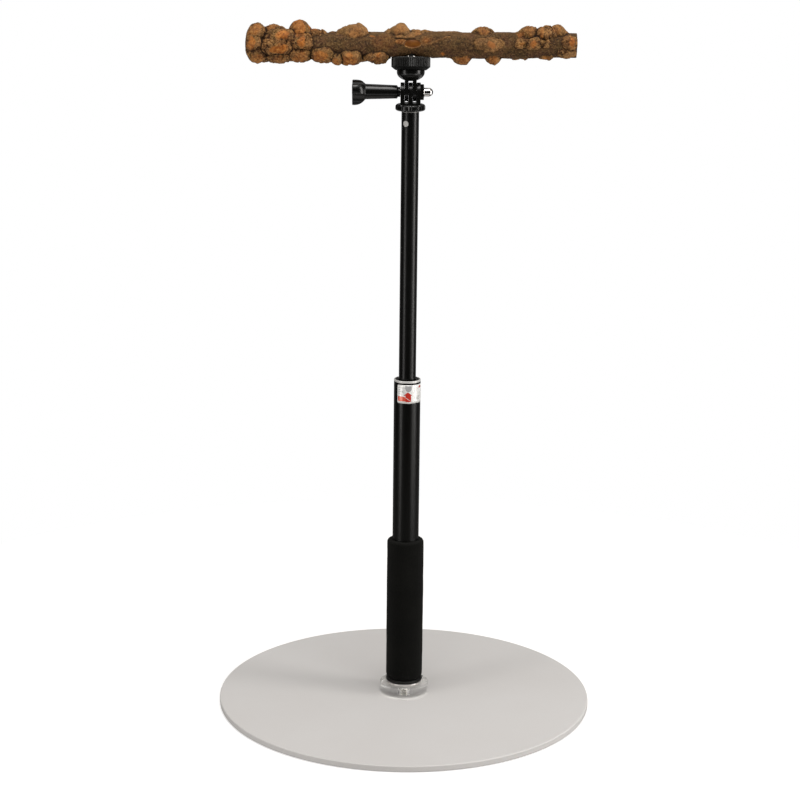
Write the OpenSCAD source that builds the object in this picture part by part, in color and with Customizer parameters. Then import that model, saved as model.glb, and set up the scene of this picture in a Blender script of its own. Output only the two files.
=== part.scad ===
// Table-top bird perch stand: a round steel base, a two-stage twist-lock pole with a foam grip,
// a tilting three-prong head and a natural knobbly wood perch.
// Millimetres, +Z up, -Y is the front, origin at the centre of the underside of the base.

/* [Base] */
// Diameter of the round base plate
base_d = 300; // [260:5:360]
// Thickness of the base plate
base_t = 5; // [4:0.5:8]
// Rounding of the plate's rim
base_round = 1; // [0.4:0.1:1.6]
// Diameter of the clear spacer under the pole
spacer_d = 39; // [32:1:60]
// Height of the clear spacer
spacer_h = 10; // [4:0.5:16]
// Edge bevel of the clear spacer
spacer_bevel = 0.5; // [0.2:0.1:1]
// Diameter of the metal washer on the spacer
washer_d = 29; // [24:0.5:31]
// Thickness of the metal washer
washer_t = 1.5; // [1:0.1:3]

/* [Base screw] */
// Thread diameter of the base screw and of the head's stud
screw_d = 6.35; // [6:0.05:6.6]
// Length of the base screw, head included
screw_len = 27.7; // [25:0.1:28.4]
// Diameter of the countersunk head
screw_head_d = 12.4; // [11:0.1:14]
// Height of the countersunk cone
screw_head_h = 3; // [2.4:0.1:3.4]
// How far the head lies above the floor
screw_sunk = 0.3; // [0.1:0.1:0.6]
// Size across the flats of the hex socket
screw_key = 4; // [3:0.5:5]
// Depth of the hex socket
screw_key_depth = 2.4; // [1.5:0.1:3]
// Outside diameter of each threaded metal insert
insert_d = 9.2; // [8.6:0.1:10]

/* [End cap and grip] */
// Diameter of the end cap's flange
cap_d = 29.4; // [26:0.2:31]
// Thickness of the end cap's flange
cap_flange_t = 2.7; // [2:0.1:5]
// Thickness of the narrow step under the grip
cap_step_t = 0.8; // [0.4:0.1:1.2]
// How far the step lies inside the flange's rim
cap_step_in = 0.75; // [0.3:0.05:1.5]
// Length of the end cap's plug inside the tube
cap_plug_len = 9.8; // [8:0.1:11]
// Diameter of the foam grip
grip_d = 29.6; // [27:0.2:36]
// Length of the foam grip
grip_len = 117.3; // [80:0.5:160]
// Rounding at the lower end of the grip
grip_round_low = 3.2; // [1:0.1:3.2]
// Rounding at the upper end of the grip
grip_round_high = 2.5; // [1:0.1:3.2]

/* [Pole] */
// Outside diameter of the lower tube
tube_d = 21; // [20.4:0.1:22]
// Wall of the lower tube
tube_wall = 1; // [0.7:0.05:1.2]
// Length of the lower tube
tube_len = 247.9; // [240:0.5:262]
// Height of the silver trim ring on top of the lower tube
ring_h = 1.7; // [1:0.1:3]
// Wall of the silver trim ring
ring_wall = 0.95; // [0.7:0.05:1.2]
// Outside diameter of the upper tube
inner_d = 13.5; // [12.6:0.1:14]
// Wall of the upper tube
inner_wall = 0.9; // [0.6:0.05:1.2]
// Length of the upper tube that stands out of the collar
extension = 211.3; // [206:0.1:213]
// Length of the upper tube that stays inside the collar
inner_held = 15.3; // [15:0.1:17]
// Height of the bright bevel at the top of the upper tube
inner_bevel_h = 1; // [0.5:0.1:2]
// Depth of that bevel
inner_bevel = 0.25; // [0.1:0.05:0.4]

/* [Twist lock] */
// Length of the guide bush in the collar
bush_len = 11.3; // [9:0.1:12]
// How far the bush's top lies under the ring's top
bush_below = 0.5; // [0.2:0.1:1]
// Length of the split sleeve
sleeve_len = 13.6; // [11:0.1:14]
// Width of the sleeve's slits
sleeve_slit_w = 1.4; // [0.8:0.1:2]
// Number of slits round the sleeve
sleeve_slits = 4; // [3:1:6]
// Depth of the slits
sleeve_slit_depth = 9.5; // [6:0.5:10]
// Large radius of the wedge cone
cone_r_top = 6.4; // [5.8:0.1:6.6]
// Small radius of the wedge cone
cone_r_low = 4.4; // [3.5:0.1:5]
// Length of the wedge's plug in the upper tube
cone_plug_len = 11; // [8:0.5:13]
// Thickness of the wedge's collar under the upper tube
cone_collar_t = 1; // [0.6:0.1:1.2]

/* [Lock label] */
// Height of the foil label
label_h = 15.4; // [10:0.2:20]
// Gap between the label and the trim ring
label_gap = 0.7; // [0.2:0.1:3]
// Thickness of the foil
label_t = 0.15; // [0.1:0.05:0.3]
// Angle at which the label starts, left of the front
label_from = 46; // [20:1:80]
// Angle that the label covers
label_sweep = 192; // [120:1:300]

/* [Head mount] */
// Diameter of the mount's lobed flange
flange_d = 23.1; // [21:0.1:24]
// Height of the flange
flange_h = 5; // [4:0.1:8]
// Number of finger notches round the flange
flange_notches = 10; // [8:1:14]
// Depth of a finger notch
flange_notch = 0.8; // [0.4:0.1:1.2]
// Radius of a finger notch
flange_notch_r = 2; // [1.2:0.1:2.6]
// Rounding of the flange's lower edge
flange_round_low = 1.6; // [0.5:0.1:1.8]
// Rounding of the flange's upper edge
flange_round_high = 2; // [0.5:0.1:2]
// Length of the mount's plug in the upper tube
mount_plug_len = 22; // [14:0.5:30]
// Height of the tilt pivot above the flange
pivot_h = 9.1; // [9:0.1:13]
// Thickness of each of the mount's three prongs
prong_t = 3; // [2.6:0.1:3.2]
// Gap between two of the mount's prongs
prong_gap = 3.2; // [3.1:0.05:3.6]
// Radius of a mount prong round the pivot
prong_r = 7.25; // [6.4:0.05:7.4]
// Thickness of an adapter prong
tongue_t = 2.9; // [2.4:0.05:2.95]
// Radius of an adapter prong round the pivot
tongue_r = 7; // [6.4:0.05:7.3]
// Diameter of the tilt bolt
bolt_d = 5; // [4:0.1:5.2]
// Thickness of the nut boss on the right prong
boss_t = 2.5; // [2:0.1:4]
// Size of the nut boss over its corners
boss_d = 12; // [11.6:0.1:13]
// Size of the cap nut over its flats
nut_key = 8; // [7.6:0.1:8.2]
// Diameter of the cap nut's dome
nut_dome_d = 6.7; // [6.4:0.1:7.4]
// How far the cap nut stands out of its boss
nut_out = 7; // [5:0.1:9]
// Diameter of the rivet that holds the mount in the tube
rivet_d = 4.6; // [3:0.1:6]
// Distance of the rivet under the flange
rivet_down = 9.6; // [5:0.1:11]
// Angle of the rivet, left of the front
rivet_turn = 31.6; // [0:0.1:90]

/* [Thumb screw] */
// Distance of the knob's end face from the middle of the head
knob_out = 44.6; // [36:0.2:56]
// Length of the knob's lobed head
knob_head_len = 10.3; // [8:0.1:13]
// Radius of the sphere that rounds the lobed head
knob_ball_r = 10.5; // [9.6:0.1:11]
// Distance of that sphere's centre inside the end face
knob_ball_in = 1.3; // [0.8:0.1:2]
// Angle of the front hollow above the level, in degrees
valley_up = 10; // [0:1:60]
// Radius of one of the three lobes
lobe_r = 4; // [3:0.1:4.4]
// Distance of a lobe's centre from the axis
lobe_out = 6.9; // [6:0.1:7.5]
// Radius of the hollow between two lobes
valley_r = 9.3; // [7:0.1:12]
// Diameter of the knob's shank beside its head
shank_d = 11.8; // [10.8:0.1:12.4]
// Diameter of the shank where it ends
shank_end_d = 10.1; // [9:0.1:10.6]
// Diameter of the neck between the shank and the prong
shank_tip_d = 7.6; // [7:0.1:8.4]
// Length of the neck, with the bevel down to it
shank_tip_len = 2.6; // [1:0.1:5]
// Length of that bevel
shank_bevel_len = 0.8; // [0.2:0.1:0.9]

/* [Adapter] */
// How far the head leans back from upright, in degrees
head_lean = 8; // [0:1:20]
// Height of the dome's underside above the pivot
dome_low = 8.2; // [8:0.1:9.5]
// Height of the dome's rounded part
dome_h = 6.7; // [5:0.1:8]
// Radius of the dome
dome_r = 10.65; // [9.5:0.05:11]
// Height of the straight rim on the dome
dome_rim_h = 1.5; // [0.8:0.1:4]
// Diameter of the knurled locking wheel
wheel_d = 29.8; // [26:0.1:34]
// Height of the locking wheel
wheel_h = 9.7; // [7:0.1:14]
// Number of ribs round the wheel
wheel_ribs = 72; // [48:6:90]
// Depth of the ribs
wheel_rib = 0.45; // [0.2:0.05:0.7]
// Height of the bevel under the wheel
wheel_bevel_h = 2.4; // [1:0.1:3]
// Depth of the bevel under the wheel
wheel_bevel = 2.9; // [1:0.1:3.5]
// Bevel round the wheel's top edge
wheel_edge = 0.5; // [0.2:0.1:1]
// Height of the bare metal between the wheel and the wood
insert_bare = 2.9; // [1:0.1:4]
// Diameter of that bare metal
insert_bare_d = 8.6; // [8.2:0.1:12]
// How much slimmer the insert is inside the wood, on its radius
insert_step = 0.3; // [0.1:0.1:0.8]
// Length of the perch's insert inside the wood
insert_deep = 9.5; // [6:0.5:10.5]

/* [Perch] */
// Length of the perch
perch_len = 252; // [200:2:300]
// Radius of the bark between the knobs, at the middle
bark_r = 9.9; // [8.8:0.1:11]
// How much thinner the bark's radius is at the right end than at the middle
bark_taper = 0.4; // [0:0.1:1]
// Length over which the left end draws in
end_draw_len = 5; // [2:0.5:12]
// Share of its radius that the left end keeps where it is sawn off
end_draw_least = 0.8; // [0.5:0.01:1]
// Height of the perch's middle line above the pivot
perch_up = 35.3; // [34.8:0.1:38]
// How far the flat over the wheel reaches past the wheel
seat_gap = 0.8; // [0.5:0.1:2]
// Radius of the drilled recess round the insert
recess_r = 7; // [6:0.1:11]

/* [Fits] */
// Radial clearance of a part that slides or turns on another
run_fit = 0.08; // [0.03:0.01:0.1]
// Radial clearance of a part that is pressed or glued in place
seat_fit = 0.04; // [0.01:0.01:0.08]
// Clearance between flat faces that turn past each other
face_fit = 0.15; // [0.1:0.05:0.2]
// Clearance between the wedge cone and the split sleeve
wedge_fit = 0.3; // [0.2:0.05:0.5]

/* [Hidden] */
$fn = 96;
EPS = 0.01;
// Heights up the pole
spacer_z = base_t;
washer_z = spacer_z + spacer_h;
cap_z = washer_z + washer_t;
tube_z = cap_z + cap_flange_t;
tube_top = tube_z + tube_len;
ring_top = tube_top + ring_h;
inner_z = ring_top - inner_held;
inner_top = ring_top + extension;
flange_top = inner_top + flange_h;
pivot_z = flange_top + pivot_h;
// Radii of the pole
tube_bore_r = tube_d / 2 - tube_wall;
inner_r = inner_d / 2;
inner_bore_r = inner_r - inner_wall;
screw_bore_r = screw_d / 2 + run_fit;
bolt_bore_r = bolt_d / 2 + run_fit;
// Places across the head, from the middle prong outwards
prong_pitch = prong_t + prong_gap;
stack_half = prong_pitch + prong_t / 2;
boss_face = stack_half + boss_t;
nut_floor = stack_half + face_fit;
nut_end = boss_face + nut_out;
knob_face = stack_half + face_fit;
// Heights above the pivot, along the leaning head
dome_mid = dome_low + dome_h;
dome_top = dome_mid + dome_rim_h;
wheel_z = dome_top + face_fit;
wheel_top = wheel_z + wheel_h;
perch_insert_z = wheel_top + face_fit;
wood_seat_z = perch_insert_z + insert_bare;
stud_z = dome_low + 2;
stud_top = wood_seat_z + insert_deep - 2;
// Each knob of the perch: distance along it from the middle, angle up from the front,
// height over the bark, length to its left and right, half its width round the bark,
// and how blunt it is (under 1) or how pointed (over 1).
KNOBS = [
    [-118, 60, 6.6, 8.5, 8.5, 7, 0.6],
    [-106, 92, 6.6, 8, 12, 6.5, 0.8],
    [-100, 34, 4.6, 11, 11, 5, 0.6],
    [-122, 8, 4.7, 7, 7, 6, 0.6],
    [-102, -6, 4.7, 11, 11, 5, 0.55],
    [-84, 12, 4.2, 7, 7.5, 5, 0.6],
    [-84.5, 78, 9.4, 10.5, 11, 8, 1.15],
    [-72.5, 72, 3.2, 7, 8, 5, 0.8],
    [-118, -58, 3.8, 7.5, 8, 7, 0.6],
    [-102, -75, 3.6, 6.5, 8, 5.5, 0.6],
    [-84, -58, 3.7, 6, 6.5, 6, 0.6],
    [-68, -57, 4.6, 7.5, 7, 6, 0.6],
    [-56.5, -64, 4.4, 5, 5, 5, 0.6],
    [-45.5, -68, 5.8, 8, 8, 7, 0.6],
    [-26.5, -72, 3.9, 9.5, 9.5, 6, 0.6],
    [-41.6, 80, 6.4, 19, 10.5, 8, 1.05],
    [-7.4, 80, 6.4, 13, 7, 7, 1],
    [3.9, 92, 3, 5, 5, 4.5, 0.7],
    [-2.6, 22, 4, 11, 11, 5.5, 0.55],
    [41, -90, 5.2, 12.5, 5.5, 6, 0.95],
    [55.5, 86, 4, 10, 7.5, 6.5, 0.85],
    [59, 6, 3.5, 11.5, 11.5, 5.5, 0.6],
    [62.5, -88, 5.2, 7, 6, 6, 0.8],
    [90.5, 72, 6.2, 11.5, 7, 7.5, 1.3],
    [103, 60, 5.4, 8, 9, 6.5, 0.7],
    [112, 85, 5.6, 6, 8, 7, 0.8],
    [92, 5, 3.5, 12, 12, 6, 0.6],
    [118, 8, 3.2, 8, 9, 6, 0.6],
    [119, -46, 2.6, 8, 8, 5, 0.6],
    [103.5, -82, 2.8, 5.5, 5, 5, 0.6],
    [-116, 128, 5, 8, 9, 7, 0.6],
    [-97, 140, 4.6, 9, 9, 6, 0.6],
    [-120, 178, 4.8, 7, 8, 6.5, 0.6],
    [-102, -172, 4.8, 10, 10, 6, 0.6],
    [-112, -138, 4.4, 8, 8, 6.5, 0.6],
    [-92, -142, 4.2, 9, 9, 6, 0.6],
    [-78, 166, 4.4, 8, 9, 6, 0.6],
    [-58, 142, 4.2, 9, 12, 6.5, 0.8],
    [-66, -142, 4.6, 10, 8, 6, 0.6],
    [-38, -142, 4.4, 11, 8, 6.5, 0.6],
    [-24, 158, 4, 12, 10, 6, 0.6],
    [12, 134, 4.4, 10, 12, 6.5, 0.8],
    [30, -158, 4.2, 12, 11, 6, 0.6],
    [52, 162, 4, 10, 11, 6, 0.6],
    [72, 152, 4.4, 10, 9, 5.5, 0.8],
    [82, -150, 4.4, 11, 10, 5.5, 0.6],
    [100, 168, 4.2, 10, 11, 6, 0.6],
    [116, 150, 4, 8, 8, 5.5, 0.6]
];
ring_count = 105;
side_count = 36;

// The turning profile of a tube or disc, with its outer corners rounded
module ring_profile(r_in, r_out, h, round_low, round_high) {
    translate([r_in, 0]) square([r_out - r_in - max(round_low, round_high), h]);
    translate([r_in, round_low]) square([r_out - r_in, h - round_low - round_high]);
    translate([r_out - round_low, round_low]) mirror([0, 1]) quarter_disc(round_low);
    translate([r_out - round_high, h - round_high]) quarter_disc(round_high);
    translate([r_in, 0]) square([r_out - r_in - round_low, round_low]);
    translate([r_in, h - round_high]) square([r_out - r_in - round_high, round_high]);
}

// A quarter of a disc, which reaches a hair over its straight sides
module quarter_disc(r) {
    intersection() {
        circle(r = r);
        translate([-EPS, -EPS]) square(r + 2 * EPS);
    }
}

// A plain tube standing at height z
module pipe(r_in, r_out, z, h) {
    translate([0, 0, z])
        difference() {
            cylinder(r = r_out, h = h);
            translate([0, 0, -EPS]) cylinder(r = r_in, h = h + 2 * EPS);
        }
}

// The base screw's shank and countersunk head, made larger all round by gap
module screw_form(gap) {
    head_r = screw_head_d / 2 + gap;
    shank_r = screw_d / 2 + gap;
    translate([0, 0, screw_sunk])
        cylinder(r1 = head_r, r2 = shank_r, h = screw_head_h);
    translate([0, 0, screw_sunk]) cylinder(r = shank_r, h = screw_len);
}

// Lays out its children in the leaning head's own frame, with the pivot at the origin
module in_head() {
    translate([0, 0, pivot_z]) rotate([-head_lean, 0, 0]) children();
}

// A cylinder along +X that starts at x
module rod_x(r, x, len) {
    translate([x, 0, 0]) rotate([0, 90, 0]) cylinder(r = r, h = len);
}

// A hexagon rod along +X, with two of its corners straight up and down
module hex_x(corner_d, x, len) {
    translate([x, 0, 0]) rotate([0, 90, 0]) cylinder(d = corner_d, h = len, $fn = 6);
}

function over_corners(flats) = flats / cos(30);

module base_plate() {
    color("gainsboro")
        difference() {
            rotate_extrude() ring_profile(0, base_d / 2, base_t, base_round, base_round);
            screw_form(face_fit);
            translate([0, 0, -EPS])
                cylinder(r = screw_head_d / 2 + face_fit, h = screw_sunk + 2 * EPS);
        }
}

module base_screw() {
    color("silver")
        difference() {
            screw_form(0);
            translate([0, 0, screw_sunk - EPS])
                cylinder(d = over_corners(screw_key), h = screw_key_depth, $fn = 6);
        }
}

module acrylic_spacer() {
    rise = spacer_h - 2 * spacer_bevel;
    color("azure", 0.4)
        difference() {
            translate([0, 0, spacer_z]) {
                cylinder(d1 = spacer_d - 2 * spacer_bevel, d2 = spacer_d, h = spacer_bevel);
                translate([0, 0, spacer_bevel]) cylinder(d = spacer_d, h = rise);
                translate([0, 0, spacer_h - spacer_bevel])
                    cylinder(d1 = spacer_d, d2 = spacer_d - 2 * spacer_bevel, h = spacer_bevel);
            }
            translate([0, 0, spacer_z - EPS])
                cylinder(r = screw_bore_r + face_fit, h = spacer_h + 2 * EPS);
        }
}

module foot_washer() {
    color("silver") pipe(screw_bore_r + face_fit, washer_d / 2, washer_z, washer_t);
}

module end_cap() {
    color("black")
        difference() {
            union() {
                translate([0, 0, cap_z])
                    rotate_extrude()
                        ring_profile(0, cap_d / 2, cap_flange_t - cap_step_t, cap_step_t, 0.4);
                translate([0, 0, cap_z]) cylinder(r = cap_d / 2 - cap_step_in, h = cap_flange_t);
                translate([0, 0, cap_z])
                    cylinder(r = tube_bore_r - seat_fit, h = cap_flange_t + cap_plug_len);
            }
            translate([0, 0, cap_z - EPS])
                cylinder(r = insert_d / 2 + seat_fit, h = cap_flange_t + cap_plug_len + 2 * EPS);
        }
}

module cap_insert() {
    color("goldenrod")
        pipe(screw_bore_r, insert_d / 2, cap_z, cap_flange_t + cap_plug_len);
}

module foam_grip() {
    color("#1c1c1d")
        translate([0, 0, tube_z])
            rotate_extrude()
                ring_profile(tube_d / 2 + seat_fit, grip_d / 2, grip_len,
                             grip_round_low, grip_round_high);
}

module outer_tube() {
    color("#232323") pipe(tube_bore_r, tube_d / 2, tube_z, tube_len);
}

module lock_label() {
    label_r = tube_d / 2 + seat_fit;
    color("silver")
        translate([0, 0, tube_top - label_gap - label_h])
            rotate([0, 0, -90 - label_from])
                rotate_extrude(angle = label_sweep)
                    translate([label_r, 0]) square([label_t, label_h]);
}

module collar_ring() {
    color("silver") pipe(tube_d / 2 - ring_wall, tube_d / 2, tube_top, ring_h);
}

module guide_bush() {
    bush_top = ring_top - bush_below;
    color("black") pipe(inner_r + run_fit, tube_bore_r - seat_fit, bush_top - bush_len, bush_len);
}

// The wedge's cone, made larger by gap, from the sleeve's foot up to the wedge's collar
module wedge_cone(gap) {
    translate([0, 0, inner_z - cone_collar_t - sleeve_len])
        cylinder(r1 = cone_r_low + gap, r2 = cone_r_top + gap, h = sleeve_len);
}

module lock_sleeve() {
    sleeve_r = tube_bore_r - run_fit;
    sleeve_z = inner_z - cone_collar_t - sleeve_len - face_fit;
    color("black")
        difference() {
            translate([0, 0, sleeve_z]) cylinder(r = sleeve_r, h = sleeve_len);
            wedge_cone(wedge_fit);
            translate([0, 0, sleeve_z - EPS])
                cylinder(r = cone_r_low + wedge_fit, h = face_fit + 2 * EPS);
            for (i = [0 : sleeve_slits - 1])
                rotate([0, 0, i * 360 / sleeve_slits])
                    translate([0, -sleeve_slit_w / 2, sleeve_z + sleeve_len - sleeve_slit_depth])
                        cube([tube_d, sleeve_slit_w, sleeve_len]);
        }
}

module lock_wedge() {
    color("dimgray") {
        wedge_cone(0);
        translate([0, 0, inner_z - cone_collar_t])
            cylinder(r = inner_r - seat_fit, h = cone_collar_t);
        translate([0, 0, inner_z - cone_collar_t])
            cylinder(r = inner_bore_r - seat_fit, h = cone_collar_t + cone_plug_len);
    }
}

// A round rod along the rivet's line, from the pole's middle to beyond the tube
module rivet_rod(r) {
    rotate([0, 0, -90 - rivet_turn])
        translate([inner_bore_r - 2, 0, inner_top - rivet_down])
            rotate([0, 90, 0]) cylinder(r = r, h = inner_d);
}

module inner_tube() {
    color("#232323")
        difference() {
            union() {
                translate([0, 0, inner_z])
                    cylinder(r = inner_r, h = inner_top - inner_z - inner_bevel_h);
                translate([0, 0, inner_top - inner_bevel_h])
                    cylinder(r1 = inner_r, r2 = inner_r - inner_bevel, h = inner_bevel_h);
            }
            translate([0, 0, inner_z - EPS])
                cylinder(r = inner_bore_r, h = inner_top - inner_z + 2 * EPS);
            rivet_rod(rivet_d / 2 + seat_fit);
        }
}

module tube_rivet() {
    color("lightgray")
        intersection() {
            rivet_rod(rivet_d / 2);
            translate([0, 0, inner_top - rivet_down - rivet_d])
                cylinder(r = inner_r, h = 2 * rivet_d);
        }
}

// One prong's outline: round about the pivot, straight down to foot
module prong_outline(r, foot) {
    circle(r = r);
    translate([-r, -foot]) square([2 * r, foot]);
}

// A plate with a prong's outline, centred on x and standing across the X axis
module prong_plate(r, foot, thick, x) {
    translate([x - thick / 2, 0, 0])
        rotate([90, 0, 90]) linear_extrude(thick) prong_outline(r, foot);
}

module head_mount() {
    root = 0.5;
    color("#141414")
        difference() {
            union() {
                translate([0, 0, inner_top])
                    rotate_extrude()
                        ring_profile(0, flange_d / 2, flange_h, flange_round_low, flange_round_high);
                translate([0, 0, inner_top - mount_plug_len])
                    cylinder(r = inner_bore_r - seat_fit, h = mount_plug_len + EPS);
                translate([0, 0, pivot_z]) {
                    for (side = [-1, 0, 1])
                        prong_plate(prong_r, pivot_h + root, prong_t, side * prong_pitch);
                    hex_x(boss_d, stack_half - EPS, boss_t);
                }
            }
            for (i = [0 : flange_notches - 1])
                rotate([0, 0, (i + 0.5) * 360 / flange_notches])
                    translate([flange_d / 2 + flange_notch_r - flange_notch, 0, inner_top - EPS])
                        cylinder(r = flange_notch_r, h = flange_h + 2 * EPS);
            translate([0, 0, pivot_z]) {
                rod_x(bolt_bore_r, -stack_half - EPS, 2 * stack_half + 2 * EPS);
                hex_x(over_corners(nut_key) + 2 * seat_fit, stack_half, boss_t + 1);
            }
            rivet_rod(rivet_d / 2 + seat_fit);
        }
}

module cap_nut() {
    dome_r2 = nut_dome_d / 2;
    color("silver")
        translate([0, 0, pivot_z])
            difference() {
                union() {
                    hex_x(over_corners(nut_key), nut_floor, boss_t);
                    rod_x(dome_r2, nut_floor, nut_end - dome_r2 - nut_floor);
                    translate([nut_end - dome_r2, 0, 0]) sphere(r = dome_r2);
                }
                rod_x(bolt_bore_r, nut_floor - EPS, nut_end - dome_r2 - nut_floor);
            }
}

module thumb_bolt() {
    bolt_from = -knob_out + knob_head_len / 2;
    bolt_to = nut_end - nut_dome_d / 2 - 2 * face_fit;
    color("silver") translate([0, 0, pivot_z]) rod_x(bolt_d / 2, bolt_from, bolt_to - bolt_from);
}

// The three-lobed outline of the knob's head, with a hollow between each two lobes
module knob_outline() {
    reach = valley_r + lobe_r;
    valley_out = lobe_out / 2 + sqrt(reach * reach - lobe_out * lobe_out * 3 / 4);
    crease = 0.06;
    circle(d = shank_d);
    for (i = [0 : 2])
        rotate(i * 120) {
            translate([lobe_out, 0]) circle(r = lobe_r);
            difference() {
                polygon([
                    [0, 0],
                    [lobe_out, 0],
                    [valley_out * cos(60), valley_out * sin(60)],
                    [lobe_out * cos(120), lobe_out * sin(120)]
                ]);
                rotate(60) translate([valley_out, 0]) circle(r = valley_r + crease);
            }
        }
}

module thumb_knob() {
    knob_len = knob_out - knob_face;
    shank_from = knob_head_len - 1;
    tip_from = knob_len - shank_tip_len;
    color("#141414")
        translate([-knob_out, 0, pivot_z])
            rotate([0, 90, 0])
                difference() {
                    union() {
                        intersection() {
                            rotate(valley_up) linear_extrude(knob_head_len + 2) knob_outline();
                            translate([0, 0, knob_ball_in]) sphere(r = knob_ball_r);
                        }
                        translate([0, 0, shank_from])
                            cylinder(d1 = shank_d, d2 = shank_end_d, h = tip_from - shank_from);
                        translate([0, 0, tip_from]) {
                            cylinder(d1 = shank_end_d, d2 = shank_tip_d, h = shank_bevel_len);
                            cylinder(d = shank_tip_d, h = shank_tip_len);
                        }
                    }
                    translate([0, 0, knob_head_len / 2 - face_fit])
                        cylinder(r = bolt_d / 2 + seat_fit, h = knob_len);
                }
}

module adapter_body() {
    bands = 10;
    dome = [
        [0, dome_top],
        [dome_r, dome_top],
        for (i = [0 : bands]) [dome_r * cos(i * 90 / bands), dome_mid - dome_h * sin(i * 90 / bands)]
    ];
    color("#141414")
        in_head()
            difference() {
                union() {
                    rotate_extrude() polygon(dome);
                    for (side = [-1, 1])
                        intersection() {
                            rotate([180, 0, 0])
                                prong_plate(tongue_r, dome_mid, tongue_t, side * prong_pitch / 2);
                            translate([0, 0, -tongue_r - EPS])
                                cylinder(r = dome_r, h = dome_mid + tongue_r + 2 * EPS);
                        }
                }
                rod_x(bolt_bore_r, -stack_half, 2 * stack_half);
                translate([0, 0, stud_z - face_fit]) cylinder(r = screw_d / 2 + seat_fit, h = dome_top);
            }
}

module adapter_stud() {
    color("silver")
        in_head() translate([0, 0, stud_z]) cylinder(d = screw_d, h = stud_top - stud_z);
}

module lock_wheel() {
    r_out = wheel_d / 2;
    r_in = r_out - wheel_rib;
    step = 360 / wheel_ribs;
    ribs = [
        for (i = [0 : wheel_ribs - 1], side = [0, 1])
            let (a = (i + side * 0.5) * step, r = side == 0 ? r_out : r_in)
                [r * cos(a), r * sin(a)]
    ];
    bevels = [
        [0, 0],
        [r_out - wheel_bevel, 0],
        [r_out + wheel_bevel, 2 * wheel_bevel_h],
        [r_out + wheel_bevel, wheel_h - wheel_edge - wheel_bevel],
        [r_out - wheel_edge, wheel_h],
        [0, wheel_h]
    ];
    color("#1a1a1a")
        in_head()
            difference() {
                intersection() {
                    translate([0, 0, wheel_z]) linear_extrude(wheel_h) polygon(ribs);
                    translate([0, 0, wheel_z]) rotate_extrude() polygon(bevels);
                }
                translate([0, 0, wheel_z - EPS])
                    cylinder(r = insert_d / 2 + seat_fit, h = wheel_h + 2 * EPS);
            }
}

module wheel_insert() {
    color("goldenrod") in_head() pipe(screw_bore_r, insert_d / 2, wheel_z, wheel_h);
}

module perch_insert() {
    body_r = insert_bare_d / 2 - insert_step;
    color("silver")
        in_head()
            difference() {
                union() {
                    translate([0, 0, perch_insert_z]) cylinder(d = insert_bare_d, h = insert_bare);
                    translate([0, 0, wood_seat_z]) cylinder(r = body_r, h = insert_deep);
                }
                translate([0, 0, perch_insert_z - EPS])
                    cylinder(r = screw_bore_r, h = insert_bare + insert_deep + 2 * EPS);
            }
}

// How far round the bark one angle lies from another, in millimetres
function round_gap(a, b) = let (d = abs(a - b) % 360) min(d, 360 - d) * PI / 180 * bark_r;

// The height of one knob over the bark at a place along and round the perch
function knob_rise(k, x, a) =
    let (
        along = (x - k[0]) / (x < k[0] ? k[3] : k[4]),
        aside = round_gap(a, k[1]) / k[5],
        rest = 1 - along * along - aside * aside
    )
    rest <= 0 ? 0 : k[2] * pow(rest, k[6]);

// The branch's taper, and the slow swell of its bark along and round it
function bark_swell(x, a) =
    0.28 * sin(x * 4.1 + 2 * a) + 0.22 * sin(x * 9.7 - 3 * a + 40) + 0.15 * sin(x * 2.3 + a)
    - 2 * bark_taper * x / perch_len;

// How much the left end draws in over its last few millimetres
function end_draw(x) =
    let (near = (x + perch_len / 2) / end_draw_len)
    near >= 1 ? 1 : end_draw_least + (1 - end_draw_least) * sqrt(1 - (1 - near) * (1 - near));

function perch_radius(x, a) =
    let (rise = max([for (k = KNOBS) knob_rise(k, x, a)]))
    (bark_r + bark_swell(x, a) + rise) * end_draw(x);

// The perch's outside, a ring of points at each step along it and a middle point at each end
module perch_outside() {
    step = perch_len / (ring_count - 1);
    turn = 360 / side_count;
    ring_points = [
        for (i = [0 : ring_count - 1], j = [0 : side_count - 1])
            let (x = -perch_len / 2 + i * step, a = -180 + j * turn, r = perch_radius(x, a))
                [x, -r * cos(a), r * sin(a)]
    ];
    ends = [[-perch_len / 2, 0, 0], [perch_len / 2, 0, 0]];
    low_end = ring_count * side_count;
    high_end = low_end + 1;
    last = (ring_count - 1) * side_count;
    walls = [
        for (i = [0 : ring_count - 2], j = [0 : side_count - 1], half = [0, 1])
            let (
                next = (j + 1) % side_count,
                a = i * side_count + j,
                b = i * side_count + next,
                c = a + side_count,
                d = b + side_count
            )
            half == 0 ? [a, b, c] : [b, d, c]
    ];
    low_cap = [for (j = [0 : side_count - 1]) [low_end, (j + 1) % side_count, j]];
    high_cap = [for (j = [0 : side_count - 1]) [high_end, last + j, last + (j + 1) % side_count]];
    polyhedron(points = concat(ring_points, ends), faces = concat(walls, low_cap, high_cap));
}

module perch_branch() {
    seat_r = wheel_d / 2 + seat_gap;
    depth = 2 * bark_r;
    color("sienna")
        in_head()
            difference() {
                translate([0, 0, perch_up]) perch_outside();
                translate([0, 0, perch_insert_z - depth]) cylinder(r = seat_r, h = depth);
                translate([0, 0, wood_seat_z - depth]) cylinder(r = recess_r, h = depth);
                translate([0, 0, wood_seat_z - EPS])
                    cylinder(r = insert_bare_d / 2 - insert_step + seat_fit, h = insert_deep + 0.5);
            }
}

base_plate();
base_screw();
acrylic_spacer();
foot_washer();
end_cap();
cap_insert();
foam_grip();
outer_tube();
lock_label();
collar_ring();
guide_bush();
lock_sleeve();
lock_wedge();
inner_tube();
head_mount();
tube_rivet();
cap_nut();
thumb_bolt();
thumb_knob();
adapter_body();
adapter_stud();
lock_wheel();
wheel_insert();
perch_insert();
perch_branch();
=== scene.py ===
import math

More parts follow.
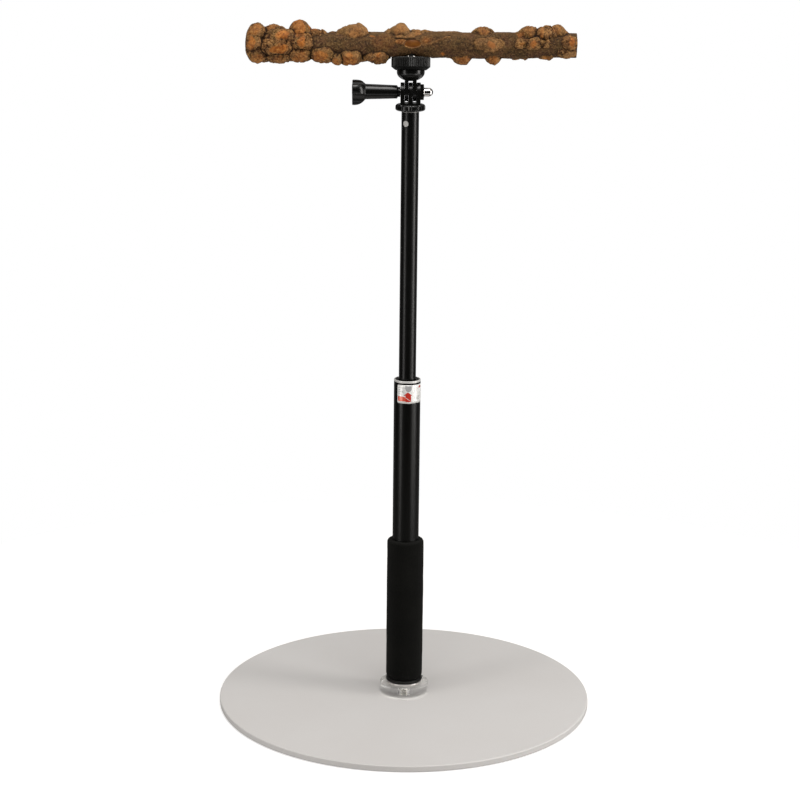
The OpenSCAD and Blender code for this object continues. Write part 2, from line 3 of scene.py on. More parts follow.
import bmesh
import bpy
import numpy as np
from mathutils import Matrix, Vector, noise


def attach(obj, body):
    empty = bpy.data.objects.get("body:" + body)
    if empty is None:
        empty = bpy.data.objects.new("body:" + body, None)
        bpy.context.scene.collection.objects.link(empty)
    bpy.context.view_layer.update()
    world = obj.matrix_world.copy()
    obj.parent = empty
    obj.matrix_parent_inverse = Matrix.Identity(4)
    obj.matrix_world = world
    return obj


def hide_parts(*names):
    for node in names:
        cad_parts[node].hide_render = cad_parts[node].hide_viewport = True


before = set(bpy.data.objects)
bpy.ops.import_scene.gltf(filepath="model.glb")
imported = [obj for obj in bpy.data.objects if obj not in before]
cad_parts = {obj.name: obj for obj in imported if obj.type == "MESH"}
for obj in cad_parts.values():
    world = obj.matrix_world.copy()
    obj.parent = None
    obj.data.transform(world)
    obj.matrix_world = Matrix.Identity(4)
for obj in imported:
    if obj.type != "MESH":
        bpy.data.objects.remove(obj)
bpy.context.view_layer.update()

MM = 0.001


# The camera stands a little above the perch and looks down on the base. Its lens and
# place come from the outline of the round base, and the slight roll shares out the pole's
# lean between the pole, the base and the perch.
CAMERA_PLACE, LOOK_DOWN, ROLL, LENS = (-0.0056, -1.6969, 0.6832), 14.28, 0.6, 99.6


def turn(degrees, axis):
    return Matrix.Rotation(math.radians(degrees), 4, axis)


camera = bpy.data.objects.new("camera", bpy.data.cameras.new("camera"))
bpy.context.scene.collection.objects.link(camera)
camera.data.lens = LENS
camera.data.sensor_width = 36
camera.matrix_world = Matrix.Translation(CAMERA_PLACE) @ turn(90 - LOOK_DOWN, "X") @ turn(ROLL, "Z")
bpy.context.scene.camera = camera
bpy.context.scene.view_settings.view_transform = "Standard"


# The studio is a pale floor in a white surround, with tall soft lights at the front left
# and right and one above. Only mirrors see the curtains all round: dark ones behind the
# camera, which keep the middle of black tubes black, and grey ones behind the object.
FLOOR_R, FLOOR_DROP, FLOOR_GLOW, AMBIENT = 0.56, 0.0004, 0.52, 0.34
CURTAIN_R, CURTAIN_LOW, CURTAIN_TOP, GREY_FROM = 2.3, -0.9, 2.4, 1.1


def put(tree, kind, inputs=None, **settings):
    """A new shader node. inputs maps a socket to its value, or to the socket that feeds it."""
    node = tree.nodes.new("ShaderNode" + kind)
    for name, value in settings.items():
        setattr(node, name, value)
    for name, value in (inputs or {}).items():
        socket = node.inputs[name]
        if isinstance(value, bpy.types.NodeSocket):
            tree.links.new(value, socket)
        else:
            socket.default_value = (*value, 1) if socket.type == "RGBA" else value
    return node


def calc(operation, a, b=0.0, clamp=False):
    """One sum of two values. At least one of them is a socket."""
    tree = (a if isinstance(a, bpy.types.NodeSocket) else b).id_data
    return put(tree, "Math", {0: a, 1: b}, operation=operation, use_clamp=clamp).outputs[0]


def times(a, b):
    return calc("MULTIPLY", a, b)


def blank_tree(holder):
    holder.use_nodes = True
    holder.node_tree.nodes.clear()
    return holder.node_tree


def string(bm, points, closed=False):
    """A row of new vertices with an edge from each to the next."""
    line = [bm.verts.new(point) for point in points]
    for a, b in zip(line, line[1:] + line[:1] if closed else line[1:]):
        bm.edges.new((a, b))


def spun(bm, steps, angle=math.tau, axis=(0, 0, 1), merge=True, climb=0.0):
    """Spins all that bm holds round an axis through the origin, climbing along Z at each step."""
    bmesh.ops.spin(
        bm, geom=bm.verts[:] + bm.edges[:], cent=(0, 0, 0), axis=axis, dvec=(0, 0, climb),
        angle=angle, steps=steps, use_merge=merge, use_duplicate=False,
    )


def held(name, bm):
    """Puts a bmesh in a new object of the scene and frees it."""
    mesh = bpy.data.meshes.new(name)
    bm.to_mesh(mesh)
    bm.free()
    piece = bpy.data.objects.new(name, mesh)
    bpy.context.scene.collection.objects.link(piece)
    return piece


# The surround is white where it is seen straight, in a mirror or through glass, and dimmer
# as light on what scatters it.
world = bpy.data.worlds.new("studio")
bpy.context.scene.world = world
tree = blank_tree(world)
path = put(tree, "LightPath").outputs
seen = calc("MAXIMUM", path["Is Camera Ray"], path["Is Glossy Ray"])
seen = calc("MAXIMUM", seen, path["Is Transmission Ray"])
seen = times(seen, calc("LESS_THAN", path["Diffuse Depth"], 0.5))
ambient = put(tree, "Background", {"Color": (1.0, 0.985, 0.96), "Strength": AMBIENT})
white = put(tree, "Background", {"Color": (1, 1, 1), "Strength": 1.0})
surround = put(tree, "MixShader", {0: seen, 1: ambient.outputs[0], 2: white.outputs[0]})
put(tree, "OutputWorld", {"Surface": surround.outputs[0]})

for name, place, aim, width, height, power in (
    ("left_light", (-0.93, -0.68, 0.36), 0.36, 0.28, 1.9, 5.4),
    ("right_light", (1.09, -0.36, 0.62), 0.62, 0.38, 1.3, 9.0),
    ("right_low_light", (0.92, -0.70, -0.36), -0.36, 0.34, 0.66, 2.1),
    ("top_light", (0.1, -0.7, 2.7), 0.2, 1.5, 1.5, 40.5),
):
    lamp = bpy.data.lights.new(name, "AREA")
    lamp.shape = "RECTANGLE"
    lamp.size, lamp.size_y = width, height
    lamp.energy = power
    lamp.color = (1.0, 0.975, 0.945)
    light = bpy.data.objects.new(name, lamp)
    bpy.context.scene.collection.objects.link(light)
    light.location = place
    light.rotation_euler = (Vector((0, 0, aim)) - Vector(place)).to_track_quat("-Z", "Y").to_euler()
    light.visible_camera = False

# The floor keeps the stand's shadow. It glows a little for the camera, and is darker in mirrors.
bm = bmesh.new()
bmesh.ops.create_circle(bm, cap_ends=True, segments=96, radius=FLOOR_R)
bmesh.ops.translate(bm, verts=bm.verts, vec=(0, 0, -FLOOR_DROP))
floor = held("floor", bm)
paper = bpy.data.materials.new("floor_paper")
tree = blank_tree(paper)
lit = put(tree, "BsdfDiffuse", {"Color": (0.62, 0.615, 0.61)})
glow = put(tree, "Emission", {"Color": (1, 1, 1), "Strength": FLOOR_GLOW})
mirrored = put(tree, "BsdfDiffuse", {"Color": (0.16, 0.157, 0.153)})
path = put(tree, "LightPath").outputs
shown = put(tree, "AddShader", {0: lit.outputs[0], 1: glow.outputs[0]})
looked_at = calc("MAXIMUM", path["Is Camera Ray"], path["Is Transmission Ray"])
bounced = put(tree, "MixShader", {0: path["Is Glossy Ray"], 1: lit.outputs[0], 2: mirrored.outputs[0]})
surface = put(tree, "MixShader", {0: looked_at, 1: bounced.outputs[0], 2: shown.outputs[0]})
put(tree, "OutputMaterial", {"Surface": surface.outputs[0]})
floor.data.materials.append(paper)

# The curtains hang in a ring farther out than the lights. The third behind the object is grey.
bm = bmesh.new()
string(bm, [(0, CURTAIN_R, CURTAIN_LOW), (0, CURTAIN_R, CURTAIN_TOP)])
bmesh.ops.transform(bm, matrix=turn(60, "Z"), verts=bm.verts)
spun(bm, 72)
curtains = held("curtains", bm)
for name, shade in (("dark_felt", 0.012), ("grey_cloth", 0.16)):
    cloth = bpy.data.materials.new(name)
    tree = blank_tree(cloth)
    dim = put(tree, "Emission", {"Color": (1, 0.99, 0.97), "Strength": shade})
    put(tree, "OutputMaterial", {"Surface": dim.outputs[0]})
    curtains.data.materials.append(cloth)
for face in curtains.data.polygons:
    face.material_index = 1 if face.center.y > GREY_FROM else 0
curtains.visible_camera = curtains.visible_diffuse = False
curtains.visible_transmission = curtains.visible_shadow = False


# The base is a round steel plate, 300 mm across and 5 mm thick, with a smooth off-white
# powder coat over its rounded rim. Its middle is countersunk from below for the screw.
PLATE_R, PLATE_TOP, PLATE_BORE, SINK_R, SINK_TOP = 149.98, 5.0, 3.4, 6.35, 3.35


def rounded(points, corners):
    """A closed profile of (radius, height) points. corners gives the rounding of some of them by number."""
    out = []
    count = len(points)
    for i, point in enumerate(points):
        here = Vector(point)
        if i not in corners:
            out.append(here)
            continue
        into = (here - Vector(points[i - 1])).normalized()
        away = (Vector(points[(i + 1) % count]) - here).normalized()
        bend = into.angle(away)
        side = 1 if into.cross(away) > 0 else -1
        reach = corners[i] * math.tan(bend / 2)
        middle = here + (away - into).normalized() * corners[i] / math.cos(bend / 2)
        start = here - into * reach
        out.append(start - into * 0.08)
        for k in range(7):
            swing = Matrix.Rotation(side * bend * k / 6, 2)
            out.append(middle + swing @ (start - middle))
        out.append(here + away * (reach + 0.08))
    return out


def cleaned(bm):
    """Merges doubled points, drops empty faces and turns every face outwards."""
    bmesh.ops.remove_doubles(bm, verts=bm.verts, dist=1e-7)
    bmesh.ops.dissolve_degenerate(bm, edges=bm.edges, dist=1e-7)
    bmesh.ops.recalc_face_normals(bm, faces=bm.faces)
    return bm


def turned(points, corners=None, steps=128, closed=True):
    """A bmesh of the profile, its corners rounded, spun about Z. An open one starts and ends on the axis."""
    bm = bmesh.new()
    profile = rounded(points, corners) if corners else points
    string(bm, [(x * MM, 0, z * MM) for x, z in profile], closed)
    spun(bm, steps)
    return cleaned(bm)


def made(name, bm, material, sharp=40, place=Matrix()):
    """Ends the modelling of a piece: it is in its place, and smooth but for edges over sharp degrees."""
    bmesh.ops.transform(bm, matrix=place, verts=bm.verts)
    piece = held(name, bm)
    piece.data.shade_smooth()
    piece.data.set_sharp_from_angle(angle=math.radians(sharp))
    piece.data.materials.append(material)
    return piece


def mottle(vector, scale, detail=2.0, roughness=0.5):
    """A pattern of soft patches."""
    inputs = {"Vector": vector, "Scale": scale, "Detail": detail, "Roughness": roughness}
    return put(vector.id_data, "TexNoise", inputs).outputs[0]


def between(value, low, high, to_low=0.0, to_high=1.0):
    """The value taken from the range low..high to to_low..to_high, with soft ends."""
    inputs = {"Value": value, 1: low, 2: high, 3: to_low, 4: to_high}
    return put(value.id_data, "MapRange", inputs, interpolation_type="SMOOTHSTEP").outputs[0]


def tint(factor, a, b):
    """Colour a with b laid over it by factor."""
    return put(factor.id_data, "Mix", {0: factor, 6: a, 7: b}, data_type="RGBA").outputs[2]


def feed(node, **sockets):
    """Links sockets to a node's inputs of those names, _ for a space."""
    for name, socket in sockets.items():
        socket.id_data.links.new(socket, node.inputs[name.replace("_", " ")])


def shader_group(name, *sockets):
    """An empty node group with inputs (name, kind, value) and outputs (name, kind)."""
    group = bpy.data.node_groups.new(name, "ShaderNodeTree")
    for label, kind, *value in sockets:
        way = "INPUT" if value else "OUTPUT"
        socket = group.interface.new_socket(name=label, in_out=way, socket_type="NodeSocket" + kind)
        if value and value[0] is not None:
            socket.default_value = value[0]
    return group, group.nodes.new("NodeGroupInput").outputs, group.nodes.new("NodeGroupOutput")


# Handled surface: two sizes of soft smudges that make a finish a little rougher in places.
handled, given, result = shader_group(
    "handled_finish", ("Vector", "Vector", None), ("Roughness", "Float", 0.4),
    ("Spread", "Float", 0.1), ("Roughness", "Float"),
)
smudge = calc("ADD", mottle(given["Vector"], 28.0, 3.0), mottle(given["Vector"], 190.0))
spread = times(calc("SUBTRACT", smudge, 1.0), given["Spread"])
feed(result, Roughness=calc("ADD", given["Roughness"], spread, clamp=True))

# Fine relief: the orange peel of a coat, the grain of a mould or the draw lines of a tube.
relief, given, result = shader_group(
    "fine_relief", ("Vector", "Vector", None), ("Scale", "Float", 900.0),
    ("Depth", "Float", 0.00002), ("Normal", "Vector"),
)
peel = mottle(given["Vector"], given["Scale"])
raised = put(relief, "Bump", {"Height": peel, "Distance": given["Depth"]})
feed(result, Normal=raised.outputs[0])

# Dust: pale specks and a thin haze on what faces up.
dust, given, result = shader_group(
    "light_dust", ("Vector", "Vector", None), ("Color", "Color", (0.02, 0.02, 0.02, 1)),
    ("Amount", "Float", 0.03), ("Color", "Color"),
)
specks = between(mottle(given["Vector"], 1500.0, 1.0), 0.68, 0.76)
facing = put(dust, "SeparateXYZ", {0: put(dust, "NewGeometry").outputs["Normal"]}).outputs[2]
haze = times(between(facing, 0.2, 1.0), 0.5)
cover = times(calc("ADD", specks, haze), given["Amount"])
feed(result, Color=tint(cover, given["Color"], (0.55, 0.53, 0.5)))


def dusted(spot, colour, amount):
    inputs = {"Vector": spot, "Color": colour, "Amount": amount}
    return put(spot.id_data, "Group", inputs, node_tree=dust).outputs[0]


def material(name, **constants):
    """A new material, its tree, its Principled shader and its Object coordinates."""
    new = bpy.data.materials.new(name)
    new.use_nodes = True
    shader = new.node_tree.nodes["Principled BSDF"]
    for socket, value in constants.items():
        shader.inputs[socket.replace("_", " ")].default_value = value
    return new, new.node_tree, shader, put(new.node_tree, "TexCoord").outputs["Object"]


def finished(name, colour, roughness, spread, grain, depth, dusty=0.0, **constants):
    """A material with the shared effects. colour is a function of its Object coordinates."""
    new, tree, shader, spot = material(name, Roughness=roughness, **constants)
    worn = put(tree, "Group", {"Vector": spot, "Roughness": roughness, "Spread": spread}, node_tree=handled)
    skin = put(tree, "Group", {"Vector": spot, "Scale": grain, "Depth": depth}, node_tree=relief)
    shade = colour(spot)
    if dusty:
        shade = dusted(spot, shade, dusty)
    feed(shader, Base_Color=shade, Roughness=worn.outputs[0], Normal=skin.outputs[0])
    return new


def mixed(scale, a, b, detail=2.0):
    """Two close colours in soft patches, as a colour for finished."""
    return lambda spot: tint(mottle(spot, scale, detail), a, b)


def coat_colour(spot):
    """Off-white with soft clouds and a few fine flecks."""
    clouds = between(mottle(spot, 9.0, 3.0), 0.3, 0.7)
    flecks = between(mottle(spot, 2600.0, 0.0), 0.74, 0.8)
    coat = tint(clouds, (0.609, 0.593, 0.583), (0.626, 0.613, 0.605))
    return tint(times(flecks, 0.25), coat, (0.42, 0.4, 0.38))


powder_coat = finished(
    "powder_coat", coat_colour,
    roughness=0.54, spread=0.1, grain=950.0, depth=0.00002, Specular_IOR_Level=0.2,
)
bm = turned(
    [
        (SINK_R, 0), (PLATE_R, 0), (PLATE_R, PLATE_TOP), (PLATE_BORE, PLATE_TOP), (PLATE_BORE, SINK_TOP),
        (SINK_R, 0.32),
    ],
    {1: 1.0, 2: 1.0, 3: 0.2, 0: 0.1}, steps=256,
)
plate = made("base_plate_coated", bm, powder_coat)
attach(plate, "stand")
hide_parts("base_plate")


# The base screw is a quarter-inch countersunk steel screw. It comes up through the plate
# and the clear spacer, where its thread shows, into the pole's end cap.
def grown(bm, edges):
    """Extrudes a loop of edges, and gives the new loop's vertices and edges."""
    new = bmesh.ops.extrude_edge_only(bm, edges=edges)["geom"]
    loop = [g for g in new if isinstance(g, bmesh.types.BMVert)]
    fresh = set(loop)
    return loop, [g for g in new if isinstance(g, bmesh.types.BMEdge) and fresh.issuperset(g.verts)]


def lofted(stations, sides, closed=False):
    """A bmesh of loops across Z. A station is a height and a radius, or a function of the angle for it."""
    bm = bmesh.new()
    place = bm.verts.layers.int.new("place")
    loop = bmesh.ops.create_circle(bm, cap_ends=False, segments=sides, radius=1.0)["verts"]
    for k, vert in enumerate(loop):
        vert[place] = k
    first = edges = bm.edges[:]
    for number, (height, radius) in enumerate(stations):
        if number:
            loop, edges = grown(bm, edges)
        for vert in loop:
            angle = math.tau * vert[place] / sides
            r = radius(angle) if callable(radius) else radius
            vert.co = (r * math.cos(angle) * MM, r * math.sin(angle) * MM, height * MM)
    if closed:
        bmesh.ops.bridge_loops(bm, edges=first + edges)
    return cleaned(bm)


def hexagon(flats):
    """The radius of a hexagon with that size over its flats, as a function of the angle."""
    return lambda angle: flats / 2 / math.cos(angle % (math.pi / 3) - math.pi / 6)


def add_to(bm, other, matrix=Matrix()):
    """Moves another bmesh into place and into bm."""
    bmesh.ops.transform(other, matrix=matrix, verts=other.verts)
    spare = bpy.data.meshes.new("spare")
    other.to_mesh(spare)
    other.free()
    bm.from_mesh(spare)
    bpy.data.meshes.remove(spare)


def add_thread(bm, crest_wear_and_highlight, root, pitch, low, high, per_turn=32):
    """Adds a screw thread about Z to bm, cut flat and closed at its two ends."""
    screw = bmesh.new()
    form = [(root, 0), (crest_wear_and_highlight, 0.42), (crest_wear_and_highlight, 0.55), (root, 0.97), (root, 1)]
    string(screw, [(x * MM, 0, (low - pitch + pitch * share) * MM) for x, share in form])
    turns = math.ceil((high - low) / pitch) + 1
    spun(screw, per_turn * turns, math.tau * turns, merge=False, climb=pitch / per_turn * MM)
    bmesh.ops.remove_doubles(screw, verts=screw.verts, dist=1e-6)
    for height, side in ((low, -1), (high, 1)):
        cut = bmesh.ops.bisect_plane(
            screw, geom=screw.verts[:] + screw.edges[:] + screw.faces[:],
            plane_co=(0, 0, height * MM), plane_no=(0, 0, side), clear_outer=True,
        )
        rim = [g for g in cut["geom_cut"] if isinstance(g, bmesh.types.BMEdge)]
        bmesh.ops.holes_fill(screw, edges=rim)
    bmesh.ops.recalc_face_normals(screw, faces=screw.faces)
    add_to(bm, screw)


def ringed(scale, a, b, distortion, detail=2.0):
    """Two close colours in fine rings about Z, as turning leaves them, as a colour for finished."""
    def colour(spot):
        inputs = {"Vector": spot, "Scale": scale, "Distortion": distortion, "Detail": detail}
        return tint(put(spot.id_data, "TexWave", inputs, bands_direction="Z").outputs[1], a, b)
    return colour


turned_steel = finished(
    "turned_steel", ringed(1400.0, (0.50, 0.485, 0.46), (0.64, 0.625, 0.60), 1.5, 1.0),
    roughness=0.24, spread=0.12, grain=2200.0, depth=0.000006, Metallic=1.0,
)
bm = lofted(
    [
        (2.7, 0), (2.7, hexagon(4)), (0.3, hexagon(4)), (0.3, 5.9), (0.32, 6.15), (0.45, 6.2),
        (0.55, 6.1), (3.2, 3.25), (3.3, 3.1), (3.5, 2.7), (3.5, 0),
    ],
    72,
)
add_thread(bm, crest_wear_and_highlight=3.17, root=2.62, pitch=1.27, low=3.25, high=28.0)
screw = made("base_screw_threaded", bm, turned_steel, sharp=35)
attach(screw, "stand")
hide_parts("base_screw")


# The spacer is a clear polished acrylic puck, 39 mm across and 10 mm high, with a small
# bevel at each edge. The screw passes through its bore. It lies flat on the plate without
# air under it, so the plate's paint shows through its side, and it throws no shadow.
SCREW_BORE, PUCK_R, PUCK_LOW, PUCK_TOP = 3.42, 19.5, 4.97, 15.0

clear_acrylic, tree, shader, spot = material(
    "clear_acrylic", Roughness=0.02, Transmission_Weight=1.0, IOR=1.4, Specular_IOR_Level=0.35,
)
scuffs = between(mottle(spot, 320.0, 3.0), 0.5, 0.74, 0.04, 0.12)
milky = between(mottle(spot, 60.0), 0.3, 0.7)
feed(shader, Roughness=scuffs, Base_Color=tint(milky, (0.965, 0.97, 0.955), (1.0, 1.0, 0.985)))
bm = turned(
    [
        (SCREW_BORE, PUCK_LOW), (19.35, PUCK_LOW), (PUCK_R, 5.12), (PUCK_R, 14.7), (19.2, PUCK_TOP),
        (SCREW_BORE, PUCK_TOP),
    ],
    {1: 0.04, 2: 0.04, 3: 0.12, 4: 0.12}, steps=160,
)
puck = made("acrylic_puck", bm, clear_acrylic, sharp=30)
puck.visible_shadow = False
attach(puck, "stand")
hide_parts("acrylic_spacer")


# A plated washer lies between the clear spacer and the pole. It is stamped, so its edges
# are soft, and its plating has a satin lustre.
WASHER_R, WASHER_TOP = 14.5, 16.5

washer_plate = finished(
    "washer_plate", mixed(140.0, (0.80, 0.77, 0.75), (0.66, 0.635, 0.62), 3.0),
    roughness=0.36, spread=0.1, grain=700.0, depth=0.000004, Metallic=0.85,
)
bm = turned(
    [(SCREW_BORE, PUCK_TOP), (WASHER_R, PUCK_TOP), (WASHER_R, WASHER_TOP), (SCREW_BORE, WASHER_TOP)],
    {1: 0.35, 2: 0.45}, steps=160,
)
washer = made("foot_washer_plated", bm, washer_plate)
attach(washer, "stand")
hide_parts("foot_washer")


# The end cap is moulded in black plastic: a flange with a narrow step under the grip, and
# a plug pressed into the tube. A brass insert in its middle takes the screw.
CAP_BORE, CAP_R, CAP_STEP_R, CAP_TOP, PLUG_R, PLUG_TOP = 4.64, 14.7, 13.95, 19.2, 9.45, 29.0

moulded_black = finished(
    "moulded_black", mixed(420.0, (0.0028, 0.0028, 0.0024), (0.0050, 0.0050, 0.0044)),
    roughness=0.44, spread=0.14, grain=1800.0, depth=0.00002, dusty=0.01, Specular_IOR_Level=0.3,
)
bm = turned(
    [
        (CAP_BORE, WASHER_TOP), (CAP_STEP_R, WASHER_TOP), (CAP_R, 17.25), (CAP_R, 18.4), (CAP_STEP_R, 18.4),
        (CAP_STEP_R, CAP_TOP), (PLUG_R, CAP_TOP), (PLUG_R, PLUG_TOP), (CAP_BORE, PLUG_TOP),
    ],
    {1: 0.3, 2: 0.4, 3: 0.35, 4: 0.15, 7: 0.6}, steps=160,
)
cap = made("end_cap_moulded", bm, moulded_black)
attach(cap, "stand")
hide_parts("end_cap")


def dress(finish, node):
    """Gives a piece that keeps its own solid its finish."""
    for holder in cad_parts[node].material_slots:
        holder.material = finish


brass = finished(
    "turned_brass", ringed(900.0, (0.52, 0.36, 0.13), (0.66, 0.48, 0.2), 0.8),
    roughness=0.3, spread=0.12, grain=1600.0, depth=0.000006, Metallic=1.0,
)
dress(brass, "cap_insert")


# The grip is a sleeve of black closed-cell foam, 117 mm long, pushed over the lower tube.
# It is slightly uneven to the touch, its ends are soft, and its skin is full of small pits.
GRIP_BORE, GRIP_R, GRIP_SWELL, GRIP_LOW, GRIP_TOP = 10.55, 14.62, 0.14, 19.25, 136.45

foam, tree, shader, spot = material(
    "closed_cell_foam", Roughness=0.95, Specular_IOR_Level=0.1, Sheen_Weight=0.02, Sheen_Roughness=0.6,
)
cells = put(tree, "TexVoronoi", {"Vector": spot, "Scale": 1500.0}, feature="SMOOTH_F1")
pores = put(tree, "TexVoronoi", {"Vector": spot, "Scale": 520.0}, feature="F1")
open_pores = between(pores.outputs["Distance"], 0.08, 0.3, 1.0, 0.0)
skin = calc("ADD", times(cells.outputs["Distance"], 0.6), times(open_pores, -0.5))
bump = put(tree, "Bump", {"Height": skin, "Strength": 0.8, "Distance": 0.00022})
worn = between(mottle(spot, 45.0, 3.0), 0.35, 0.7)
foam_colour = tint(worn, (0.0020, 0.0021, 0.0016), (0.0036, 0.0036, 0.0028))
# The pits are painted darker, as painted shade.
foam_colour = tint(times(open_pores, 0.6), foam_colour, (0.001, 0.001, 0.001))
feed(shader, Base_Color=dusted(spot, foam_colour, 0.008), Normal=bump.outputs[0])

wall = [(GRIP_R + GRIP_SWELL * math.sin(math.pi * k / 30), 23.5 + 109.5 * k / 30) for k in range(31)]
bm = turned(
    [(GRIP_BORE, GRIP_LOW), (14.6, GRIP_LOW)] + wall + [(14.55, GRIP_TOP), (GRIP_BORE, GRIP_TOP)],
    {1: 3.0, 33: 2.3, 0: 0.3, 34: 0.3}, steps=180,
)
for vert in bm.verts:
    across = Vector((vert.co.x, vert.co.y, 0))
    if across.length > 11.2 * MM:
        wave = noise.noise(vert.co * 95.0) * 0.12 * MM + noise.noise(vert.co * 420.0) * 0.05 * MM
        vert.co += across.normalized() * wave
grip = made("foam_grip_sleeve", bm, foam)
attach(grip, "stand")
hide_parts("foam_grip")


# The lower tube is drawn aluminium with a satin black anodised skin. Fine lines from the
# drawing run along it.
TUBE_BORE, TUBE_R, TUBE_LOW, TUBE_TOP = 9.5, 10.5, 19.25, 267.05

anodised, tree, shader, spot = material("black_anodised", Roughness=0.32, Specular_IOR_Level=0.4)
drawn = put(tree, "Mapping", {"Vector": spot, "Scale": (1.0, 1.0, 0.02)}).outputs[0]
tube_colour = tint(mottle(drawn, 2600.0), (0.0010, 0.0010, 0.0008), (0.0018, 0.0018, 0.0014))
worn = put(tree, "Group", {"Vector": spot, "Roughness": 0.32, "Spread": 0.05}, node_tree=handled)
skin = put(tree, "Group", {"Vector": drawn, "Scale": 2200.0, "Depth": 0.000003}, node_tree=relief)
feed(shader, Base_Color=dusted(spot, tube_colour, 0.006), Roughness=worn.outputs[0], Normal=skin.outputs[0])
bm = turned(
    [(TUBE_BORE, TUBE_LOW), (TUBE_R, TUBE_LOW), (TUBE_R, TUBE_TOP), (TUBE_BORE, TUBE_TOP)],
    {1: 0.2, 2: 0.2}, steps=160,
)
tube = made("lower_tube", bm, anodised)
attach(tube, "stand")
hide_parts("outer_tube")


# A silver foil label wraps the top of the lower tube. Its words are left off: plain grey
# bars stand for them, beside a red twist arrow on its red band.
LABEL_FROM, LABEL_SWEEP, LABEL_LOW, LABEL_TOP = -136.0, 192.0, 251.05, 265.8
LABEL_R, LABEL_CORNER = 10.56, 1.2
GREY_BARS = [
    (-40, -10, 0.83, 0.855), (-40, -24, 0.725, 0.75), (-40, -17, 0.62, 0.645), (-40, -28, 0.535, 0.555),
    (33, 34.5, 0.22, 0.9), (45, 66, 0.36, 0.385), (45, 60, 0.29, 0.31), (45, 64, 0.21, 0.235),
    (88, 128, 0.70, 0.73), (88, 120, 0.58, 0.61), (88, 126, 0.46, 0.49), (88, 112, 0.34, 0.37),
]

label_box, given, result = shader_group(
    "printed_box", ("U", "Float", 0.0), ("V", "Float", 0.0), ("Left", "Float", 0.0),
    ("Right", "Float", 0.0), ("Low", "Float", 0.0), ("High", "Float", 0.0), ("Mask", "Float"),
)
inside = []
for value, low, high in (("U", "Left", "Right"), ("V", "Low", "High")):
    over = calc("GREATER_THAN", given[value], given[low])
    inside.append(times(over, calc("GREATER_THAN", given[high], given[value])))
feed(result, Mask=times(*inside))


def foil_colour(spot):
    """The print on the silver foil, placed by degrees from the front and shares of the height."""
    tree = spot.id_data
    flat = put(tree, "SeparateXYZ", {0: put(tree, "UVMap", uv_map="wrap").outputs[0]})
    across, up = flat.outputs[0], flat.outputs[1]

    def printed(left, right, low, high):
        inputs = {"U": across, "V": up, "Left": left, "Right": right, "Low": low, "High": high}
        return put(tree, "Group", inputs, node_tree=label_box).outputs[0]

    def from_middle(coordinate, middle, half):
        return calc("POWER", times(calc("SUBTRACT", coordinate, middle), 1 / half), 2.0)

    crinkle = between(mottle(spot, 260.0, 3.0), 0.35, 0.65)
    foil = tint(crinkle, (0.80, 0.795, 0.77), (1.0, 1.0, 0.98))
    for bar in GREY_BARS:
        foil = tint(times(printed(*bar), 0.62), foil, (0.16, 0.16, 0.16))
    oval = calc("ADD", from_middle(across, 6.0, 13.0), from_middle(up, 0.79, 0.15))
    tab = calc("MAXIMUM", printed(-9, 19, 0.78, 0.985), calc("LESS_THAN", oval, 1.0))
    slope = calc("ABSOLUTE", calc("SUBTRACT", across, 3.0))
    point = calc("LESS_THAN", slope, times(calc("SUBTRACT", 0.62, up), 105.0))
    arrow = calc("MAXIMUM", printed(-7, 17, 0.085, 0.47), times(point, calc("GREATER_THAN", up, 0.43)))
    stripe = calc("ADD", up, times(across, 0.0085))
    slash = times(calc("GREATER_THAN", stripe, 0.245), calc("LESS_THAN", stripe, 0.275))
    for mask, ink in (
        (times(tab, 0.75), (0.30, 0.30, 0.31)),
        (printed(-43, -6, 0.12, 0.375), (0.80, 0.115, 0.065)),
        (printed(-36, -20, 0.165, 0.33), (0.86, 0.27, 0.19)),
        (arrow, (0.62, 0.035, 0.02)),
        (times(slash, printed(-12, 13, 0.05, 0.4)), (0.86, 0.8, 0.76)),
        (printed(57, 74, 0.80, 0.915), (0.62, 0.07, 0.05)),
    ):
        foil = tint(mask, foil, ink)
    return foil


label_foil = finished(
    "label_foil", foil_colour,
    roughness=0.3, spread=0.1, grain=420.0, depth=0.000012, Metallic=0.2, Specular_IOR_Level=0.6,
)
label_h = LABEL_TOP - LABEL_LOW
bm = bmesh.new()
string(bm, [(LABEL_R * MM, 0, (LABEL_LOW + label_h * k / 8) * MM) for k in range(9)])
bmesh.ops.transform(bm, matrix=turn(LABEL_FROM, "Z"), verts=bm.verts)
spun(bm, 128, math.radians(LABEL_SWEEP), merge=False)
bmesh.ops.recalc_face_normals(bm, faces=bm.faces)
middle = (LABEL_LOW + LABEL_TOP) / 2 * MM
half = label_h / 2 * MM
for vert in bm.verts:
    swing = (math.degrees(math.atan2(vert.co.y, vert.co.x)) - LABEL_FROM) % 360
    near = min(swing, LABEL_SWEEP - swing) * math.pi / 180 * LABEL_R
    if near < LABEL_CORNER:
        cut = LABEL_CORNER - math.sqrt(max(0.0, LABEL_CORNER ** 2 - (LABEL_CORNER - near) ** 2))
        vert.co.z = middle + (vert.co.z - middle) * (half - cut * MM) / half
wrap = bm.loops.layers.uv.new("wrap")
for face in bm.faces:
    for corner in face.loops:
        x, y, z = corner.vert.co
        front = (math.degrees(math.atan2(y, x)) + 90 + 180) % 360 - 180
        corner[wrap].uv = (front, (z / MM - LABEL_LOW) / label_h)
label = made("lock_label_foil", bm, label_foil, sharp=60)
thick = label.modifiers.new("foil_thickness", "SOLIDIFY")
thick.thickness = 0.1 * MM
thick.offset = 1.0
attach(label, "stand")
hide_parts("lock_label")


# The collar on the lower tube ends in a satin silver trim ring, and inside it a black bush
# centres the upper tube.
TRIM_BORE, TRIM_LOW, TRIM_TOP = 9.55, 267.15, 268.8
BUSH_BORE, BUSH_R, BUSH_LOW, BUSH_TOP = 6.83, 9.46, 257.0, 268.3

